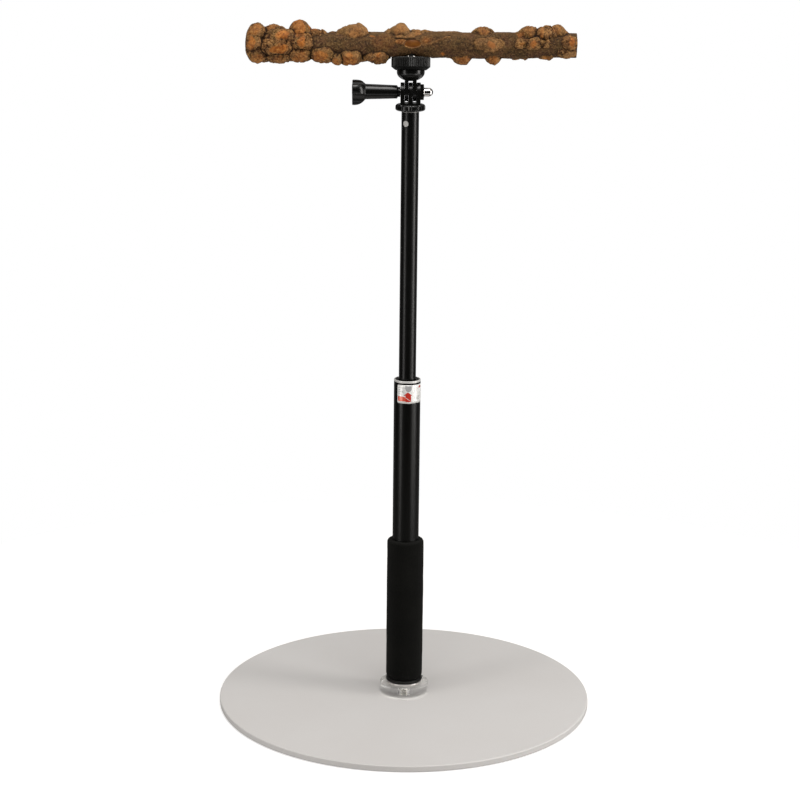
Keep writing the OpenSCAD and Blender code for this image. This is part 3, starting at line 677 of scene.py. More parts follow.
satin_plate = finished(
    "satin_plate", ringed(1900.0, (0.64, 0.63, 0.61), (0.74, 0.735, 0.72), 0.6),
    roughness=0.4, spread=0.08, grain=900.0, depth=0.000002, Metallic=0.4,
)
bm = turned(
    [(TRIM_BORE, TRIM_LOW), (TUBE_R, TRIM_LOW), (TUBE_R, TRIM_TOP), (TRIM_BORE, TRIM_TOP)],
    {1: 0.15, 2: 0.5, 3: 0.3}, steps=160,
)
ring = made("collar_ring_bright", bm, satin_plate)
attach(ring, "stand")
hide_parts("collar_ring")

bm = turned(
    [(BUSH_BORE, BUSH_LOW), (BUSH_R, BUSH_LOW), (BUSH_R, BUSH_TOP), (BUSH_BORE, BUSH_TOP)],
    {2: 0.3, 3: 0.35},
)
bush = made("guide_bush_moulded", bm, moulded_black)
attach(bush, "stand")
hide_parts("guide_bush")


# The twist lock is inside the lower tube: a grey wedge plug in the upper tube's end and a
# black split sleeve that it spreads. Both keep their own solids.
plain_grey = finished(
    "plain_grey_moulding", mixed(300.0, (0.13, 0.13, 0.135), (0.17, 0.17, 0.175)),
    roughness=0.5, spread=0.1, grain=1500.0, depth=0.00002,
)
dress(moulded_black, "lock_sleeve")
dress(plain_grey, "lock_wedge")


# The upper tube slides in the collar. Its top edge is turned to a bare satin bevel, and a
# rivet through its wall holds the head's plug.
UPPER_BORE, UPPER_R, UPPER_LOW, BEVEL_LOW, UPPER_TOP = 5.85, 6.75, 253.5, 479.1, 480.1
RIVET_Z, RIVET_TURN = 470.5, -90 - 31.6

bm = turned(
    [
        (UPPER_BORE, UPPER_LOW), (UPPER_R, UPPER_LOW), (UPPER_R, BEVEL_LOW), (6.5, UPPER_TOP),
        (UPPER_BORE, UPPER_TOP),
    ],
    {1: 0.15},
)
upper = made("upper_tube", bm, anodised, sharp=12)
bare_bevel = finished(
    "bare_bevel", mixed(600.0, (0.27, 0.265, 0.25), (0.38, 0.375, 0.36)),
    roughness=0.42, spread=0.1, grain=1800.0, depth=0.000004, Metallic=0.4,
)
upper.data.materials.append(bare_bevel)
for face in upper.data.polygons:
    if face.center.z > (BEVEL_LOW + 0.05) * MM and Vector(face.center[:2]).length > 6.3 * MM:
        face.material_index = 1
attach(upper, "upper_pole")
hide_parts("inner_tube")

rivet_grey = finished(
    "rivet_grey", mixed(700.0, (0.44, 0.43, 0.415), (0.56, 0.55, 0.53)),
    roughness=0.42, spread=0.12, grain=1500.0, depth=0.00001,
)
head = [(6.8, r) for r in (1.9, 1.5, 1.1, 0.7, 0.3, 0)]
bm = lofted([(3.9, 0), (3.9, 2.28), (6.4, 2.28), (6.77, 2.27), (6.785, 2.15)] + head, 64)
for vert in bm.verts:
    if vert.co.z > 6.3 * MM:
        vert.co.z -= UPPER_R * MM - math.sqrt((UPPER_R * MM) ** 2 - vert.co.y ** 2)
rivet_place = Matrix.Translation((0, 0, RIVET_Z * MM)) @ turn(RIVET_TURN, "Z") @ turn(90, "Y")
rivet = made("tube_rivet_head", bm, rivet_grey, place=rivet_place)
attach(rivet, "upper_pole")
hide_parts("tube_rivet")


# The head mount is moulded in glossy black plastic: a finger flange with ten hollows, a
# plug in the tube, three prongs with a cross bore, and a six-sided boss for the nut.
PIVOT_Z, SLOT_AT = 494.2, 3.1
FLANGE_R, FLANGE_TOP, HOLLOW_R, HOLLOW_AT = 11.5, 485.1, 2.0, 12.75
SLOT_HALF, SLOT_FLOOR, SLOT_FOOT, PRONG_HALF = 1.62, -8.45, -9.6, 6.9
PIVOT = Matrix.Translation((0, 0, PIVOT_Z * MM))
ALONG_X = turn(90, "Y")


def prong(radius, foot, thick, bore=2.58, edge=0.35, sides=96):
    """A prong lying across Z: round about the pivot, straight on one side down to its foot, and pierced."""
    def outline(shrink):
        def reach(angle):
            x, y = math.cos(angle), math.sin(angle)
            if x <= 0:
                return radius - shrink
            return min((radius - shrink) / max(abs(y), 1e-6), foot / x)
        return reach
    half = thick / 2
    return lofted(
        [
            (-half, bore + 0.15), (-half, outline(edge)), (-half + edge * 0.3, outline(edge * 0.3)),
            (-half + edge, outline(0)), (half - edge, outline(0)), (half - edge * 0.3, outline(edge * 0.3)),
            (half, outline(edge)), (half, bore + 0.15), (half - 0.15, bore), (-half + 0.15, bore),
        ],
        sides, closed=True,
    )


def arc(low, high, step):
    """The sine and cosine of each angle from low up to high, in degrees."""
    return [(math.sin(math.radians(a)), math.cos(math.radians(a))) for a in range(low, high, step)]


def hollowed(inset):
    """The finger flange's outline, ten hollows round a disc, drawn in by inset."""
    def reach(angle):
        off = (angle + math.pi / 10) % (math.pi / 5) - math.pi / 10
        off = math.pi / 10 - abs(off)
        across = HOLLOW_AT * math.sin(off)
        r = FLANGE_R
        if abs(across) < HOLLOW_R:
            r = min(r, HOLLOW_AT * math.cos(off) - math.sqrt(HOLLOW_R ** 2 - across ** 2))
        return r - inset
    return reach


gloss_black = finished(
    "gloss_black_moulding", mixed(380.0, (0.0022, 0.0022, 0.0019), (0.0040, 0.0040, 0.0035)),
    roughness=0.24, spread=0.1, grain=1400.0, depth=0.00001, dusty=0.006, Specular_IOR_Level=0.42,
)
plug = [(458.1, 0), (458.1, 5.5), (458.4, 5.8), (UPPER_TOP, 5.8)]
rim = [(UPPER_TOP + 1.6 * (1 - c), hollowed(1.6 * (1 - s))) for s, c in arc(0, 91, 18)]
rim += [(FLANGE_TOP - 2.0 * (1 - s), hollowed(2.0 * (1 - c))) for s, c in arc(0, 91, 15)]
bm = lofted(plug + rim + [(FLANGE_TOP, 5.0), (FLANGE_TOP, 0)], 240)
for across in (-2 * SLOT_AT, 0, 2 * SLOT_AT):
    add_to(bm, prong(7.25, 9.6, 3.04), PIVOT @ Matrix.Translation((across * MM, 0, 0)) @ ALONG_X)
# Each slot between two prongs ends in a hollow round floor.
for across in (-SLOT_AT, SLOT_AT):
    slot = bmesh.new()
    outline = [(SLOT_HALF * s, SLOT_FLOOR + SLOT_HALF * (1 - c)) for s, c in arc(-90, 91, 15)]
    outline = [(-SLOT_HALF, SLOT_FOOT)] + outline + [(SLOT_HALF, SLOT_FOOT)]
    section = [slot.verts.new(((across + x) * MM, -PRONG_HALF * MM, z * MM)) for x, z in outline]
    pushed = bmesh.ops.extrude_face_region(slot, geom=[slot.faces.new(section)])["geom"]
    back = [g for g in pushed if isinstance(g, bmesh.types.BMVert)]
    bmesh.ops.translate(slot, verts=back, vec=(0, 2 * PRONG_HALF * MM, 0))
    bmesh.ops.recalc_face_normals(slot, faces=slot.faces)
    add_to(bm, slot, PIVOT)
boss_out, boss_in = hexagon(12 * math.cos(math.pi / 6)), hexagon(8.08)
boss = lofted(
    [
        (7.5, boss_in), (7.5, boss_out), (9.8, boss_out), (10.08, lambda a: boss_out(a) - 0.12),
        (10.2, lambda a: boss_out(a) - 0.4), (10.2, lambda a: boss_in(a) + 0.15), (10.05, boss_in),
    ],
    120, closed=True,
)
add_to(bm, boss, PIVOT @ ALONG_X)
mount = made("head_mount_moulded", bm, gloss_black, sharp=35)
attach(mount, "upper_pole")
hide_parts("head_mount")


# The cap nut is turned from steel and plated bright: six flats in the boss, and a long dome
# over the bolt's end.
DOME_R, DOME_FROM = 3.35, 13.85

bright_plate = finished(
    "bright_plate",
    lambda spot: tint(between(mottle(spot, 140.0, 3.0), 0.35, 0.7), (0.86, 0.845, 0.83), (0.74, 0.725, 0.71)),
    roughness=0.11, spread=0.1, grain=700.0, depth=0.000004, Metallic=1.0,
)
nut_flats = hexagon(7.98)
nut_line = [
    (13.7, 0), (13.7, 2.6), (7.87, 2.6), (7.87, lambda a: nut_flats(a) - 0.25), (8.1, nut_flats),
    (10.1, nut_flats), (10.33, lambda a: nut_flats(a) - 0.25), (10.36, 3.6), (10.55, DOME_R),
]
nut_line += [(DOME_FROM + DOME_R * s, DOME_R * c) for s, c in arc(0, 90, 10)]
bm = lofted(nut_line + [(DOME_FROM + DOME_R, 0)], 96)
nut = made("cap_nut_bright", bm, bright_plate, sharp=35, place=PIVOT @ ALONG_X)
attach(nut, "upper_pole")
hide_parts("cap_nut")


# The thumb screw's knob is glossy black: three rounded lobes with hollows between them,
# trimmed by a ball form, on a long shank that tapers to the prongs. Its steel bolt is
# moulded in and keeps its own solid.
LOBE_R, LOBE_AT, DIP_R, DIP_AT = 4.0, 6.9, 9.3, 15.33
BALL_R, BALL_DEEP, MEET, KNOB_FROM = 10.5, 1.3, 0.5, 44.6
SHANK_R, SHANK_TAPER, SHANK_FROM, SHANK_LONG = 5.9, 0.85, 9.3, 24.85

dress(turned_steel, "thumb_bolt")


def lobes(angle):
    """The outline of the knob's head: three lobes and three hollows that run into each other."""
    off = abs((angle - math.radians(10) + math.pi / 3) % (math.tau / 3) - math.pi / 3)
    if off < math.radians(29.25):
        return LOBE_AT * math.cos(off) + math.sqrt(LOBE_R ** 2 - (LOBE_AT * math.sin(off)) ** 2)
    past = math.pi / 3 - off
    return DIP_AT * math.cos(past) - math.sqrt(DIP_R ** 2 - (DIP_AT * math.sin(past)) ** 2)


def softened(a, b):
    """How much a rounded meeting of two outlines departs from their sharp one."""
    near = max(MEET - abs(a - b), 0) / MEET
    return near * near * MEET / 4


def knob_loop(depth):
    """The knob's outline at a depth from its end face: the smaller of lobes and ball, over the shank."""
    ball = math.sqrt(max(0.0, BALL_R ** 2 - (depth - BALL_DEEP) ** 2))
    shank = SHANK_R - SHANK_TAPER * max(depth - SHANK_FROM, 0) / SHANK_LONG

    def reach(angle):
        lobe = lobes(angle)
        head = min(lobe, ball) - softened(lobe, ball)
        return max(head, shank) + softened(head, shank)
    return reach


stations = [
    (5.0, 0), (5.0, 2.54), (36.7, 2.54), (36.75, 2.6), (36.75, 3.7), (36.65, 3.8), (35.1, 3.8), (34.95, 3.86),
    (34.35, 4.9), (34.15, 5.0), (33.9, 5.06),
]
for depth in (
    30, 26, 22, 18, 15, 13, 12, 11.4, 10.9, 10.4, 10, 9.6, 9.2, 8.8, 8.4, 8, 7.5, 7, 6.4, 5.8, 5, 4.2, 3.4,
    2.6, 1.8, 1.1,
):
    stations.append((depth, knob_loop(depth)))
for depth, inset in ((0.55, 0.03), (0.3, 0.12), (0.12, 0.28), (0.03, 0.45), (0.0, 0.7)):
    stations.append((depth, lambda a, d=depth, i=inset: knob_loop(max(d, 0.4))(a) - i))
bm = lofted(stations + [(0.0, 3.2), (0.12, 3.0), (0.12, 0)], 180)
knob_place = PIVOT @ Matrix.Translation((-KNOB_FROM * MM, 0, 0)) @ ALONG_X
knob = made("thumb_knob_lobed", bm, gloss_black, sharp=42, place=knob_place)
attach(knob, "thumb_screw")
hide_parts("thumb_knob")


# The tilting adapter is glossy black too: a dome with two prongs between the mount's
# three. The steel stud up its middle keeps its own solid. The head leans back by 8 degrees.
LEAN_BACK = 8
LEAN = PIVOT @ turn(-LEAN_BACK, "X")
BOWL_R, BOWL_LOW, BOWL_RIM, BOWL_FLOOR = 10.65, 8.2, 14.9, 10.05

bowl = [(0, BOWL_FLOOR), (3.215, BOWL_FLOOR), (3.215, 16.4), (BOWL_R, 16.4), (BOWL_R, BOWL_RIM)]
bowl += [(BOWL_R * c, BOWL_RIM - (BOWL_RIM - BOWL_LOW) * s) for s, c in arc(6, 90, 6)]
bm = turned(bowl + [(0, BOWL_LOW)], {3: 0.35}, steps=160, closed=False)
for across in (-SLOT_AT, SLOT_AT):
    add_to(bm, prong(7.0, 11.6, 3.02), Matrix.Translation((across * MM, 0, 0)) @ turn(180, "X") @ ALONG_X)
dress(turned_steel, "adapter_stud")
adapter = made("adapter_moulded", bm, gloss_black, sharp=35, place=LEAN)
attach(adapter, "tilting_head")
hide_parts("adapter_body")


# The locking wheel is satin black, with 60 fine ribs round it and a deep matt bevel below.
# It turns on the stud and locks the perch from underneath. The brass insert in its middle
# keeps its own solid.
WHEEL_R, WHEEL_BORE, WHEEL_LOW, WHEEL_TOP, WHEEL_RIBS, RIB_DEEP = 14.9, 4.66, 16.55, 26.25, 60, 0.45


def ribbed(inset, share=1.0):
    """The wheel's ribbed outline, drawn in by inset, with share of the ribs' full depth."""
    deep = RIB_DEEP * share
    return lambda angle: WHEEL_R - inset - deep * (0.5 - 0.5 * math.cos(WHEEL_RIBS * angle)) ** 0.9


wheel_black = finished(
    "satin_wheel_black", mixed(420.0, (0.0034, 0.0034, 0.0030), (0.0056, 0.0056, 0.0050)),
    roughness=0.3, spread=0.1, grain=1500.0, depth=0.000012, dusty=0.01, Specular_IOR_Level=0.4,
)
matt_bevel = finished(
    "matt_bevel_black", mixed(420.0, (0.0024, 0.0024, 0.0021), (0.0044, 0.0044, 0.0039)),
    roughness=0.55, spread=0.1, grain=1800.0, depth=0.00002, dusty=0.006, Specular_IOR_Level=0.12,
)
bm = lofted(
    [
        (WHEEL_LOW, WHEEL_BORE), (WHEEL_LOW, 11.6), (16.62, 11.95), (16.8, 12.2), (18.75, ribbed(0.25, 0.9)),
        (18.95, ribbed(0.06)), (19.15, ribbed(0)), (25.6, ribbed(0)), (25.85, ribbed(0.08)),
        (26.1, ribbed(0.3, 0.9)), (26.22, ribbed(0.6, 0.4)), (WHEEL_TOP, 14.0), (WHEEL_TOP, WHEEL_BORE),
    ],
    600, closed=True,
)
for face in bm.faces:
    if face.calc_center_median().z < 18.9 * MM:
        face.material_index = 1
dress(brass, "wheel_insert")
wheel = made("lock_wheel_ribbed", bm, wheel_black, place=LEAN)
wheel.data.materials.append(matt_bevel)
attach(wheel, "locking_wheel")
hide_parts("lock_wheel")


# A turned steel insert is screwed into the wood, level with the flat that is cut under the
# perch. Its bare rim shows between the wheel and the perch.
INSERT_BORE, INSERT_R, INSERT_LOW, INSERT_TOP = 3.255, 4.0, 26.4, 38.8

bm = turned(
    [
        (INSERT_BORE, INSERT_LOW), (4.3, INSERT_LOW), (4.3, 29.25), (INSERT_R, 29.25),
        (INSERT_R, INSERT_TOP), (INSERT_BORE, INSERT_TOP),
    ],
    {1: 0.25, 2: 0.1, 0: 0.15}, steps=96,
)
insert = made("perch_insert_turned", bm, turned_steel, place=LEAN)
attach(insert, "perch")
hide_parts("perch_insert")


# The perch is a natural branch, 252 mm long, with corky knobs all round, cracked like bark
# and rubbed to an orange face in places. It is sawn off square and drilled from below for
# the insert, and it rises slightly to the right.
BARK_R, HALF_LENGTH, RISE, PERCH_UP = 9.9, 126.0, 0.0096, 35.3
# Each knob: distance along from the middle, angle up from the front, height over the bark,
# length to its left and right, half its width, and how blunt or pointed it is.
KNOBS = [
    (-118, 60, 6.7, 8.6, 8.8, 7, 0.6), (-105, 92, 5.8, 8, 12, 6.5, 0.8),
    (-99, 34, 4.8, 12.6, 12.4, 6.2, 0.55), (-121, 8, 4.9, 8, 9.2, 7, 0.6),
    (-102, -6, 4.8, 12.6, 12.4, 6.2, 0.5), (-83.5, 12, 4.4, 9, 9.4, 6.6, 0.6),
    (-84.5, 78, 9.6, 11, 11.4, 8.4, 1.15), (-72.5, 72, 3.9, 8, 9, 5.4, 0.8),
    (-118, -54, 4.4, 8, 8.6, 7.4, 0.6), (-101, -66, 4.2, 9.4, 10.4, 7, 0.6), (-84, -54, 4.2, 9, 9, 7, 0.6),
    (-67, -53, 5.2, 9.6, 9, 7.4, 0.6), (-56.5, -66, 5.4, 6, 6, 5.4, 0.6),
    (-45.5, -66, 6.2, 8.6, 8.4, 7.4, 0.6), (-26.5, -70, 4.1, 10, 10, 6.4, 0.6),
    (-41.6, 80, 6.4, 17, 10.5, 8, 1.05), (-7.4, 80, 6.4, 13, 7, 7, 1), (4.5, 86, 2.4, 6, 7, 5, 0.8),
    (41, -90, 5.4, 12.5, 5.5, 6, 0.95), (55.5, 86, 4.2, 10, 7.5, 6.5, 0.85),
    (58.8, 3, 2.9, 11.6, 12, 5.8, 0.66), (62.5, -88, 5.4, 7, 6, 6, 0.8),
    (90.5, 72, 6.4, 11.5, 7.6, 7.8, 1.25), (102.5, 64, 6.2, 9.2, 9, 7, 0.7), (112, 85, 6.3, 8, 8, 7, 0.8),
    (84.6, 5, 2.9, 5.8, 6.2, 4.4, 0.6), (92.8, 1, 4.1, 6.2, 6.4, 5.4, 0.6), (101.5, 6, 2.4, 7, 5, 3, 0.6),
    (120.5, 9, 3.2, 6.6, 8, 6, 0.5), (119, -46, 2.6, 8, 8, 5, 0.6), (103.5, -82, 2.8, 5.5, 5, 5, 0.6),
    (-116, 128, 5, 8, 9, 7, 0.6), (-97, 140, 4.6, 9, 9, 6, 0.6), (-120, 178, 4.8, 7, 8, 6.5, 0.6),
    (-102, -172, 4.8, 10, 10, 6, 0.6), (-112, -138, 4.4, 8, 8, 6.5, 0.6), (-92, -142, 4.2, 9, 9, 6, 0.6),
    (-78, 166, 4.4, 8, 9, 6, 0.6), (-58, 142, 4.2, 9, 12, 6.5, 0.8), (-66, -142, 4.6, 10, 8, 6, 0.6),
    (-38, -142, 4.4, 11, 8, 6.5, 0.6), (-24, 158, 4, 12, 10, 6, 0.6), (12, 134, 4.4, 10, 12, 6.5, 0.8),
    (30, -158, 4.2, 12, 11, 6, 0.6), (52, 162, 4, 10, 11, 6, 0.6), (72, 152, 4.4, 10, 9, 5.5, 0.8),
    (82, -150, 4.4, 11, 10, 5.5, 0.6), (100, 168, 4.2, 10, 11, 6, 0.6), (116, 150, 4, 8, 8, 5.5, 0.6),
]
# Where knobs and bark are rubbed to a smooth orange: distance along, angle up from the
# front, half length, half width, and how strong the colour is.
RUBBED = [
    (-97.4, 27, 5.2, 2.8, 1.0), (-119, 47, 5.6, 3.6, 0.6), (-121.5, 3, 4.6, 4.4, 1.0),
    (-100, -15, 8.0, 2.6, 1.0), (-83, 10, 3.2, 3.8, 1.0), (-85, 54, 5.4, 5.2, 0.75),
    (-75, 66, 4.2, 1.8, 0.7), (-117, -50, 5.5, 4.0, 0.5), (-84, -47, 5.6, 3.4, 0.55),
    (-68.5, -38, 5.6, 3.8, 0.95), (-57.5, -57, 2.8, 2.4, 0.8), (-46, -55, 6.2, 4.2, 0.8),
    (-46, -35, 3.0, 1.6, 0.8), (-26, -56, 5.0, 2.2, 0.35), (-24, -40, 2.2, 1.3, 0.6),
    (-42.5, 54, 5.5, 3.2, 0.35), (-30, 43, 2.4, 1.4, 0.6), (-9, 54, 4.4, 3.0, 0.35),
    (24.3, -41, 1.8, 1.8, 0.9), (41, -72, 6.0, 2.8, 0.55), (55, 64, 4.4, 2.6, 0.4), (60, 1, 4.2, 2.0, 1.0),
    (62, -66, 3.8, 2.4, 0.7), (83, 44, 3.0, 2.2, 0.6), (90, 55, 4.0, 3.2, 0.35), (99, 44, 1.8, 4.4, 0.75),
    (110, 60, 3.4, 2.4, 0.35), (92.4, -2, 2.6, 2.6, 0.95), (84, 4, 1.8, 1.8, 0.45),
    (122, 8, 2.6, 3.8, 0.95), (103, -66, 3.4, 1.8, 0.5), (121, -42, 5.6, 2.4, 0.25),
    (-106, 70, 3.0, 2.0, 0.35), (-100, -58, 5.0, 3.0, 0.35), (-21, 12, 10, 7, 0.15),
    (-116, 128, 4.2, 3.6, 0.7), (-97, 140, 4.6, 3.0, 0.8), (-120, 178, 4.0, 3.4, 0.7),
    (-102, -170, 5.0, 3.0, 0.8), (-112, -136, 4.0, 3.2, 0.6), (-92, -142, 4.6, 3.0, 0.7),
    (-78, 166, 4.2, 2.8, 0.9), (-58, 142, 5.0, 3.0, 0.7), (-66, -142, 4.6, 2.8, 0.7),
    (-38, -142, 4.4, 3.0, 0.6), (-24, 158, 5.2, 3.0, 0.7), (12, 134, 5.0, 3.0, 0.6),
    (30, -158, 5.6, 2.8, 0.7), (52, 162, 5.2, 3.0, 0.8), (72, 152, 4.4, 2.8, 0.7),
    (82, -150, 5.0, 2.6, 0.7), (100, 168, 4.8, 3.0, 0.8), (116, 150, 3.6, 2.6, 0.6),
]
# Knobs painted darker as painted shade: distance along, angle up, half length, half width, and how much
# darker.
PAINTED_SHADE_KNOBS = [
    (-118, 66, 9, 8, 0.4), (-84.5, 74, 11, 9, 0.4), (-46, -62, 9, 8, 0.5), (-26, -66, 10, 8, 0.3),
    (89, 66, 8, 8, 0.55), (120, 12, 6, 6, 0.2),
]

bm = bmesh.new()
rings, sides = 440, 180
string(bm, [(HALF_LENGTH * MM * (2 * k / rings - 1), -BARK_R * MM, 0) for k in range(rings + 1)])
spun(bm, sides, axis=(1, 0, 0))
bmesh.ops.remove_doubles(bm, verts=bm.verts, dist=1e-7)
branch = bpy.data.meshes.new("branch")
bm.to_mesh(branch)
bm.free()
spots = np.empty(len(branch.vertices) * 3)
branch.vertices.foreach_get("co", spots)
spots = spots.reshape(-1, 3) / MM
along, angle = spots[:, 0], np.degrees(np.arctan2(spots[:, 2], -spots[:, 1]))
ring = np.rint((along / HALF_LENGTH + 1) / 2 * rings).astype(int)
side = np.rint(angle / 360 * sides).astype(int) % sides
skin = [Vector(p) for p in spots]


def swirl(period, shift=0.0, stretch=1.0):
    """Smooth noise from -1 to 1 over the bark, with a period in millimetres, drawn out lengthwise."""
    return np.array([noise.noise(Vector((p.x / stretch + shift, p.y, p.z)) / period) for p in skin])


def soft_step(value, low, high):
    t = np.clip((value - low) / (high - low), 0, 1)
    return t * t * (3 - 2 * t)


def blurred(values, rounds):
    """The values smoothed over the surface, a little more each round."""
    sheet = np.zeros((rings + 1, sides))
    sheet[ring, side] = values
    for _ in range(rounds):
        sheet = (np.roll(sheet, 1, 1) + 2 * sheet + np.roll(sheet, -1, 1)) / 4
        edged = np.pad(sheet, ((1, 1), (0, 0)), mode="edge")
        sheet = (edged[:-2] + 2 * sheet + edged[2:]) / 4
    return sheet[ring, side]


def round_from(degrees):
    """The way round the bark from an angle, in millimetres."""
    return ((turned_to - degrees + 180) % 360 - 180) * math.pi / 180 * BARK_R


def patch(middle, up, length, half):
    """1 in the middle of a round patch of the uneven skin, 0 at its edge and less outside it."""
    return 1 - ((moved - middle) / length) ** 2 - (round_from(up) / half) ** 2


def oval(middle, up, length, half):
    """The same on an even skin, with half its width in degrees."""
    return 1 - ((along - middle) / length) ** 2 - ((angle - up) / half) ** 2


wander, roam = swirl(9.0, 31.0), swirl(8.0, 77.0)
rough, uneven = swirl(3.4, 5.0), swirl(3.1, 95.0)
fine, tiny = swirl(1.7, 9.0), swirl(0.95, 3.0)
streaks = swirl(2.6, 50.0, stretch=3.0)
frayed = [Vector((p.x + 0.8 * a, p.y + 0.8 * b, p.z)) for p, a, b in zip(skin, rough, uneven)]
cells = [noise.voronoi(p / 5.6) for p in frayed]
crack_gap = np.array([c[0][1] - c[0][0] for c in cells])
plate_luck = np.array([noise.cell(c[1][0] * 7.31) for c in cells])

moved = along + 1.2 * wander + 0.7 * rough
turned_to = angle + 7.0 * roam + 4.0 * uneven
rise, second = np.zeros(len(along)), np.zeros(len(along))
share = np.full(len(along), -9.0)
for middle, up, height, left, right, half, blunt in KNOBS:
    run = (moved - middle) / np.where(moved < middle, left, right)
    square = 2.8 if blunt <= 0.65 else 2.0
    rest = 1 - np.abs(run) ** square - np.abs(round_from(up) / half) ** square
    here = height * np.where(rest > 0, np.abs(rest) ** (blunt * 1.1), 2 * rest)
    second = np.maximum(second, np.minimum(rise, here))
    rise = np.maximum(rise, here) + np.maximum(0.9 - np.abs(rise - here), 0) ** 2 / 3.6
    share = np.maximum(share, rest)
cork = soft_step(share + 0.16 * rough + 0.12 * fine, -0.12, 0.12)
crusty = soft_step(-along + 3.0 * rough, 73, 79)
warm = np.zeros(len(along))
for middle, up, length, half, strength in RUBBED:
    rest = patch(middle, up, length, half) + 0.55 * rough + 0.35 * fine
    warm = np.maximum(warm, strength * soft_step(rest, -0.15, 0.55))

bark = 0.28 * np.sin(np.radians(along * 4.1 + 2 * angle))
bark += 0.22 * np.sin(np.radians(along * 9.7 - 3 * angle + 40))
bark += 0.15 * np.sin(np.radians(along * 2.3 + angle)) - 0.4 * along / HALF_LENGTH
furrow = 1 - soft_step(crack_gap, 0.0, 0.12)
seam = np.exp(-((rise - second) / 0.45) ** 2) * soft_step(second, 0.5, 1.6)
ridge = 1 - 2.4 * np.abs(swirl(7.5, 140.0, stretch=1.4))
crag = 0.45 * np.clip(ridge, -1, 1) + 0.9 * (plate_luck - 0.5) - 0.3 * furrow
crag += 0.22 * rough + 0.22 * fine + 0.16 * tiny
crust = 0.20 * streaks + 0.16 * rough + 0.14 * fine + 0.12 * tiny
crust -= 0.30 * soft_step(fine + 0.5 * tiny, 0.3, 0.7)
lump = soft_step(1 - ((along - 58.8) / 12) ** 2 - (round_from(3) / 6) ** 2, 0.0, 0.3)
crag *= 1 - 0.6 * lump
button = np.maximum(patch(60, 0, 6.4, 4.4), 0)
radius = BARK_R + bark + rise + 1.5 * button ** 0.8 - 0.45 * seam


def near_line(x0, a0, x1, a1, width):
    """How near each point lies to a line drawn on the bark, from 0 to 1, fading at its ends."""
    t = (along - x0) / (x1 - x0)
    ends = soft_step(t, -0.08, 0.06) * (1 - soft_step(t, 0.94, 1.08))
    off = (angle + 3.0 * rough - (a0 + (a1 - a0) * np.clip(t, 0, 1)) + 180) % 360 - 180
    return np.exp(-(off * math.pi / 180 * BARK_R / width) ** 2) * ends


# The eye-shaped knot over the head: a crack across it, a smooth dark face under the crack
# and a pale lip over it. To its right two folds and a groove run along the bark, and the
# right end has a chip where a twig was cut away.
crack = near_line(-12, 27, 3, 26, 0.4)
lip_run = np.clip((along + 12) / 19, 0, 1)
lip_low, lip_high = 27 + 20 * soft_step(lip_run, 0.6, 1.0), 52 + 26 * lip_run
lip = soft_step(angle - lip_low + 3 * rough, -2, 4) * soft_step(lip_high + 4 * rough - angle, -3, 5)
lip *= soft_step(along + rough, -13, -11) * (1 - soft_step(along + 1.5 * rough, 6.5, 8.5))
eye = soft_step(oval(1.2, 5, 6.6, 19) + 0.1 * rough, 0.0, 0.25)
eye_rim = soft_step(oval(1.0, 4, 7.7, 22), 0.0, 0.2) * soft_step(-angle, -14, 2)
eye_rim = np.clip(eye_rim - eye, 0, 1)
corner = soft_step(oval(-7.6, 13, 4.8, 13), 0.0, 0.3) * (1 - eye)
fold = np.maximum(near_line(13, 0, 30, 40, 0.9), near_line(8, 82, 36, 90, 0.9))
groove = near_line(10, 66, 30, 70, 0.7)
hole = np.exp(oval(29, 46, 1.2, 6) - 1)
scab = np.exp(oval(11.5, 18, 3.2, 14) - 1)
off = np.hypot((along - 59) / 11, (angle - 3) / 27) - 0.95
curl = np.exp(-(off / 0.07) ** 2) * soft_step(along, 58, 64)
chip = soft_step(oval(121.5, -44, 5.5, 16) + 0.2 * rough, 0.0, 0.2)
plain = (1 - cork) * (1 - eye)
radius += -0.9 * crack + 0.8 * lip - 0.35 * eye + 0.35 * eye_rim + 0.5 * corner + 0.9 * fold
radius += -0.7 * groove - 1.0 * hole + scab * (0.5 * rough + 0.6 * fine) + 0.5 * curl - 0.6 * chip
radius += plain * crust + cork * (1 - 0.6 * warm) * crag - 0.2 * warm * cork
near = np.clip((along + HALF_LENGTH) / 8, 0, 1)
radius *= 0.5 + 0.5 * np.sqrt(1 - (1 - near) ** 2)
spots[:, 1] = -radius * np.cos(np.radians(angle))
spots[:, 2] = radius * np.sin(np.radians(angle)) + RISE * along
branch.vertices.foreach_set("co", (spots * MM).ravel())

# Painted shade darkens the hollows, the seams at the knobs' feet, the crack, the groove and the hole.
# The crests are painted lighter, partly wear and partly painted highlight, less so on the top of the
# left end. The upper front of the middle of the branch is paler.
hollow = blurred(radius, 9) - radius + 0.4 * (blurred(radius, 40) - radius)
crease = soft_step(hollow, 0.3, 1.0) + 0.55 * seam + 0.9 * crack + groove * 0.8 + hole
crease = np.clip(crease, 0, 1) * (1 - 0.8 * eye)
crest_wear_and_highlight = 0.45 * soft_step(-hollow, 0.1, 0.6) * (1 - 0.7 * soft_step(angle, 40, 70) * soft_step(-along, 66, 76))
paler_upper_middle = soft_step(angle, 25, 75) * soft_step(along, -62, -46) * (1 - 0.75 * soft_step(along, 40, 52))
crest_wear_and_highlight = np.maximum.reduce([crest_wear_and_highlight, paler_upper_middle * (0.35 + 0.65 * cork), 0.56 * lump, 0.6 * lip, chip])
cork = np.maximum.reduce([cork, lip, corner, eye_rim, chip, 0.85 * fold, 0.7 * scab, curl, 0.75 * crusty])
cork = np.clip(cork - crack, 0, 1)
lip_end = 0.4 * lip * soft_step(lip_run, 0.7, 0.9)
warm = np.maximum.reduce([warm * (1 - eye), lip_end, 0.5 * scab, 0.3 * corner])
warm *= (1 - eye_rim) * (1 - chip)
tone = np.clip(0.5 + 0.45 * (plate_luck - 0.5) + 0.5 * uneven + 0.35 * wander, 0, 1)
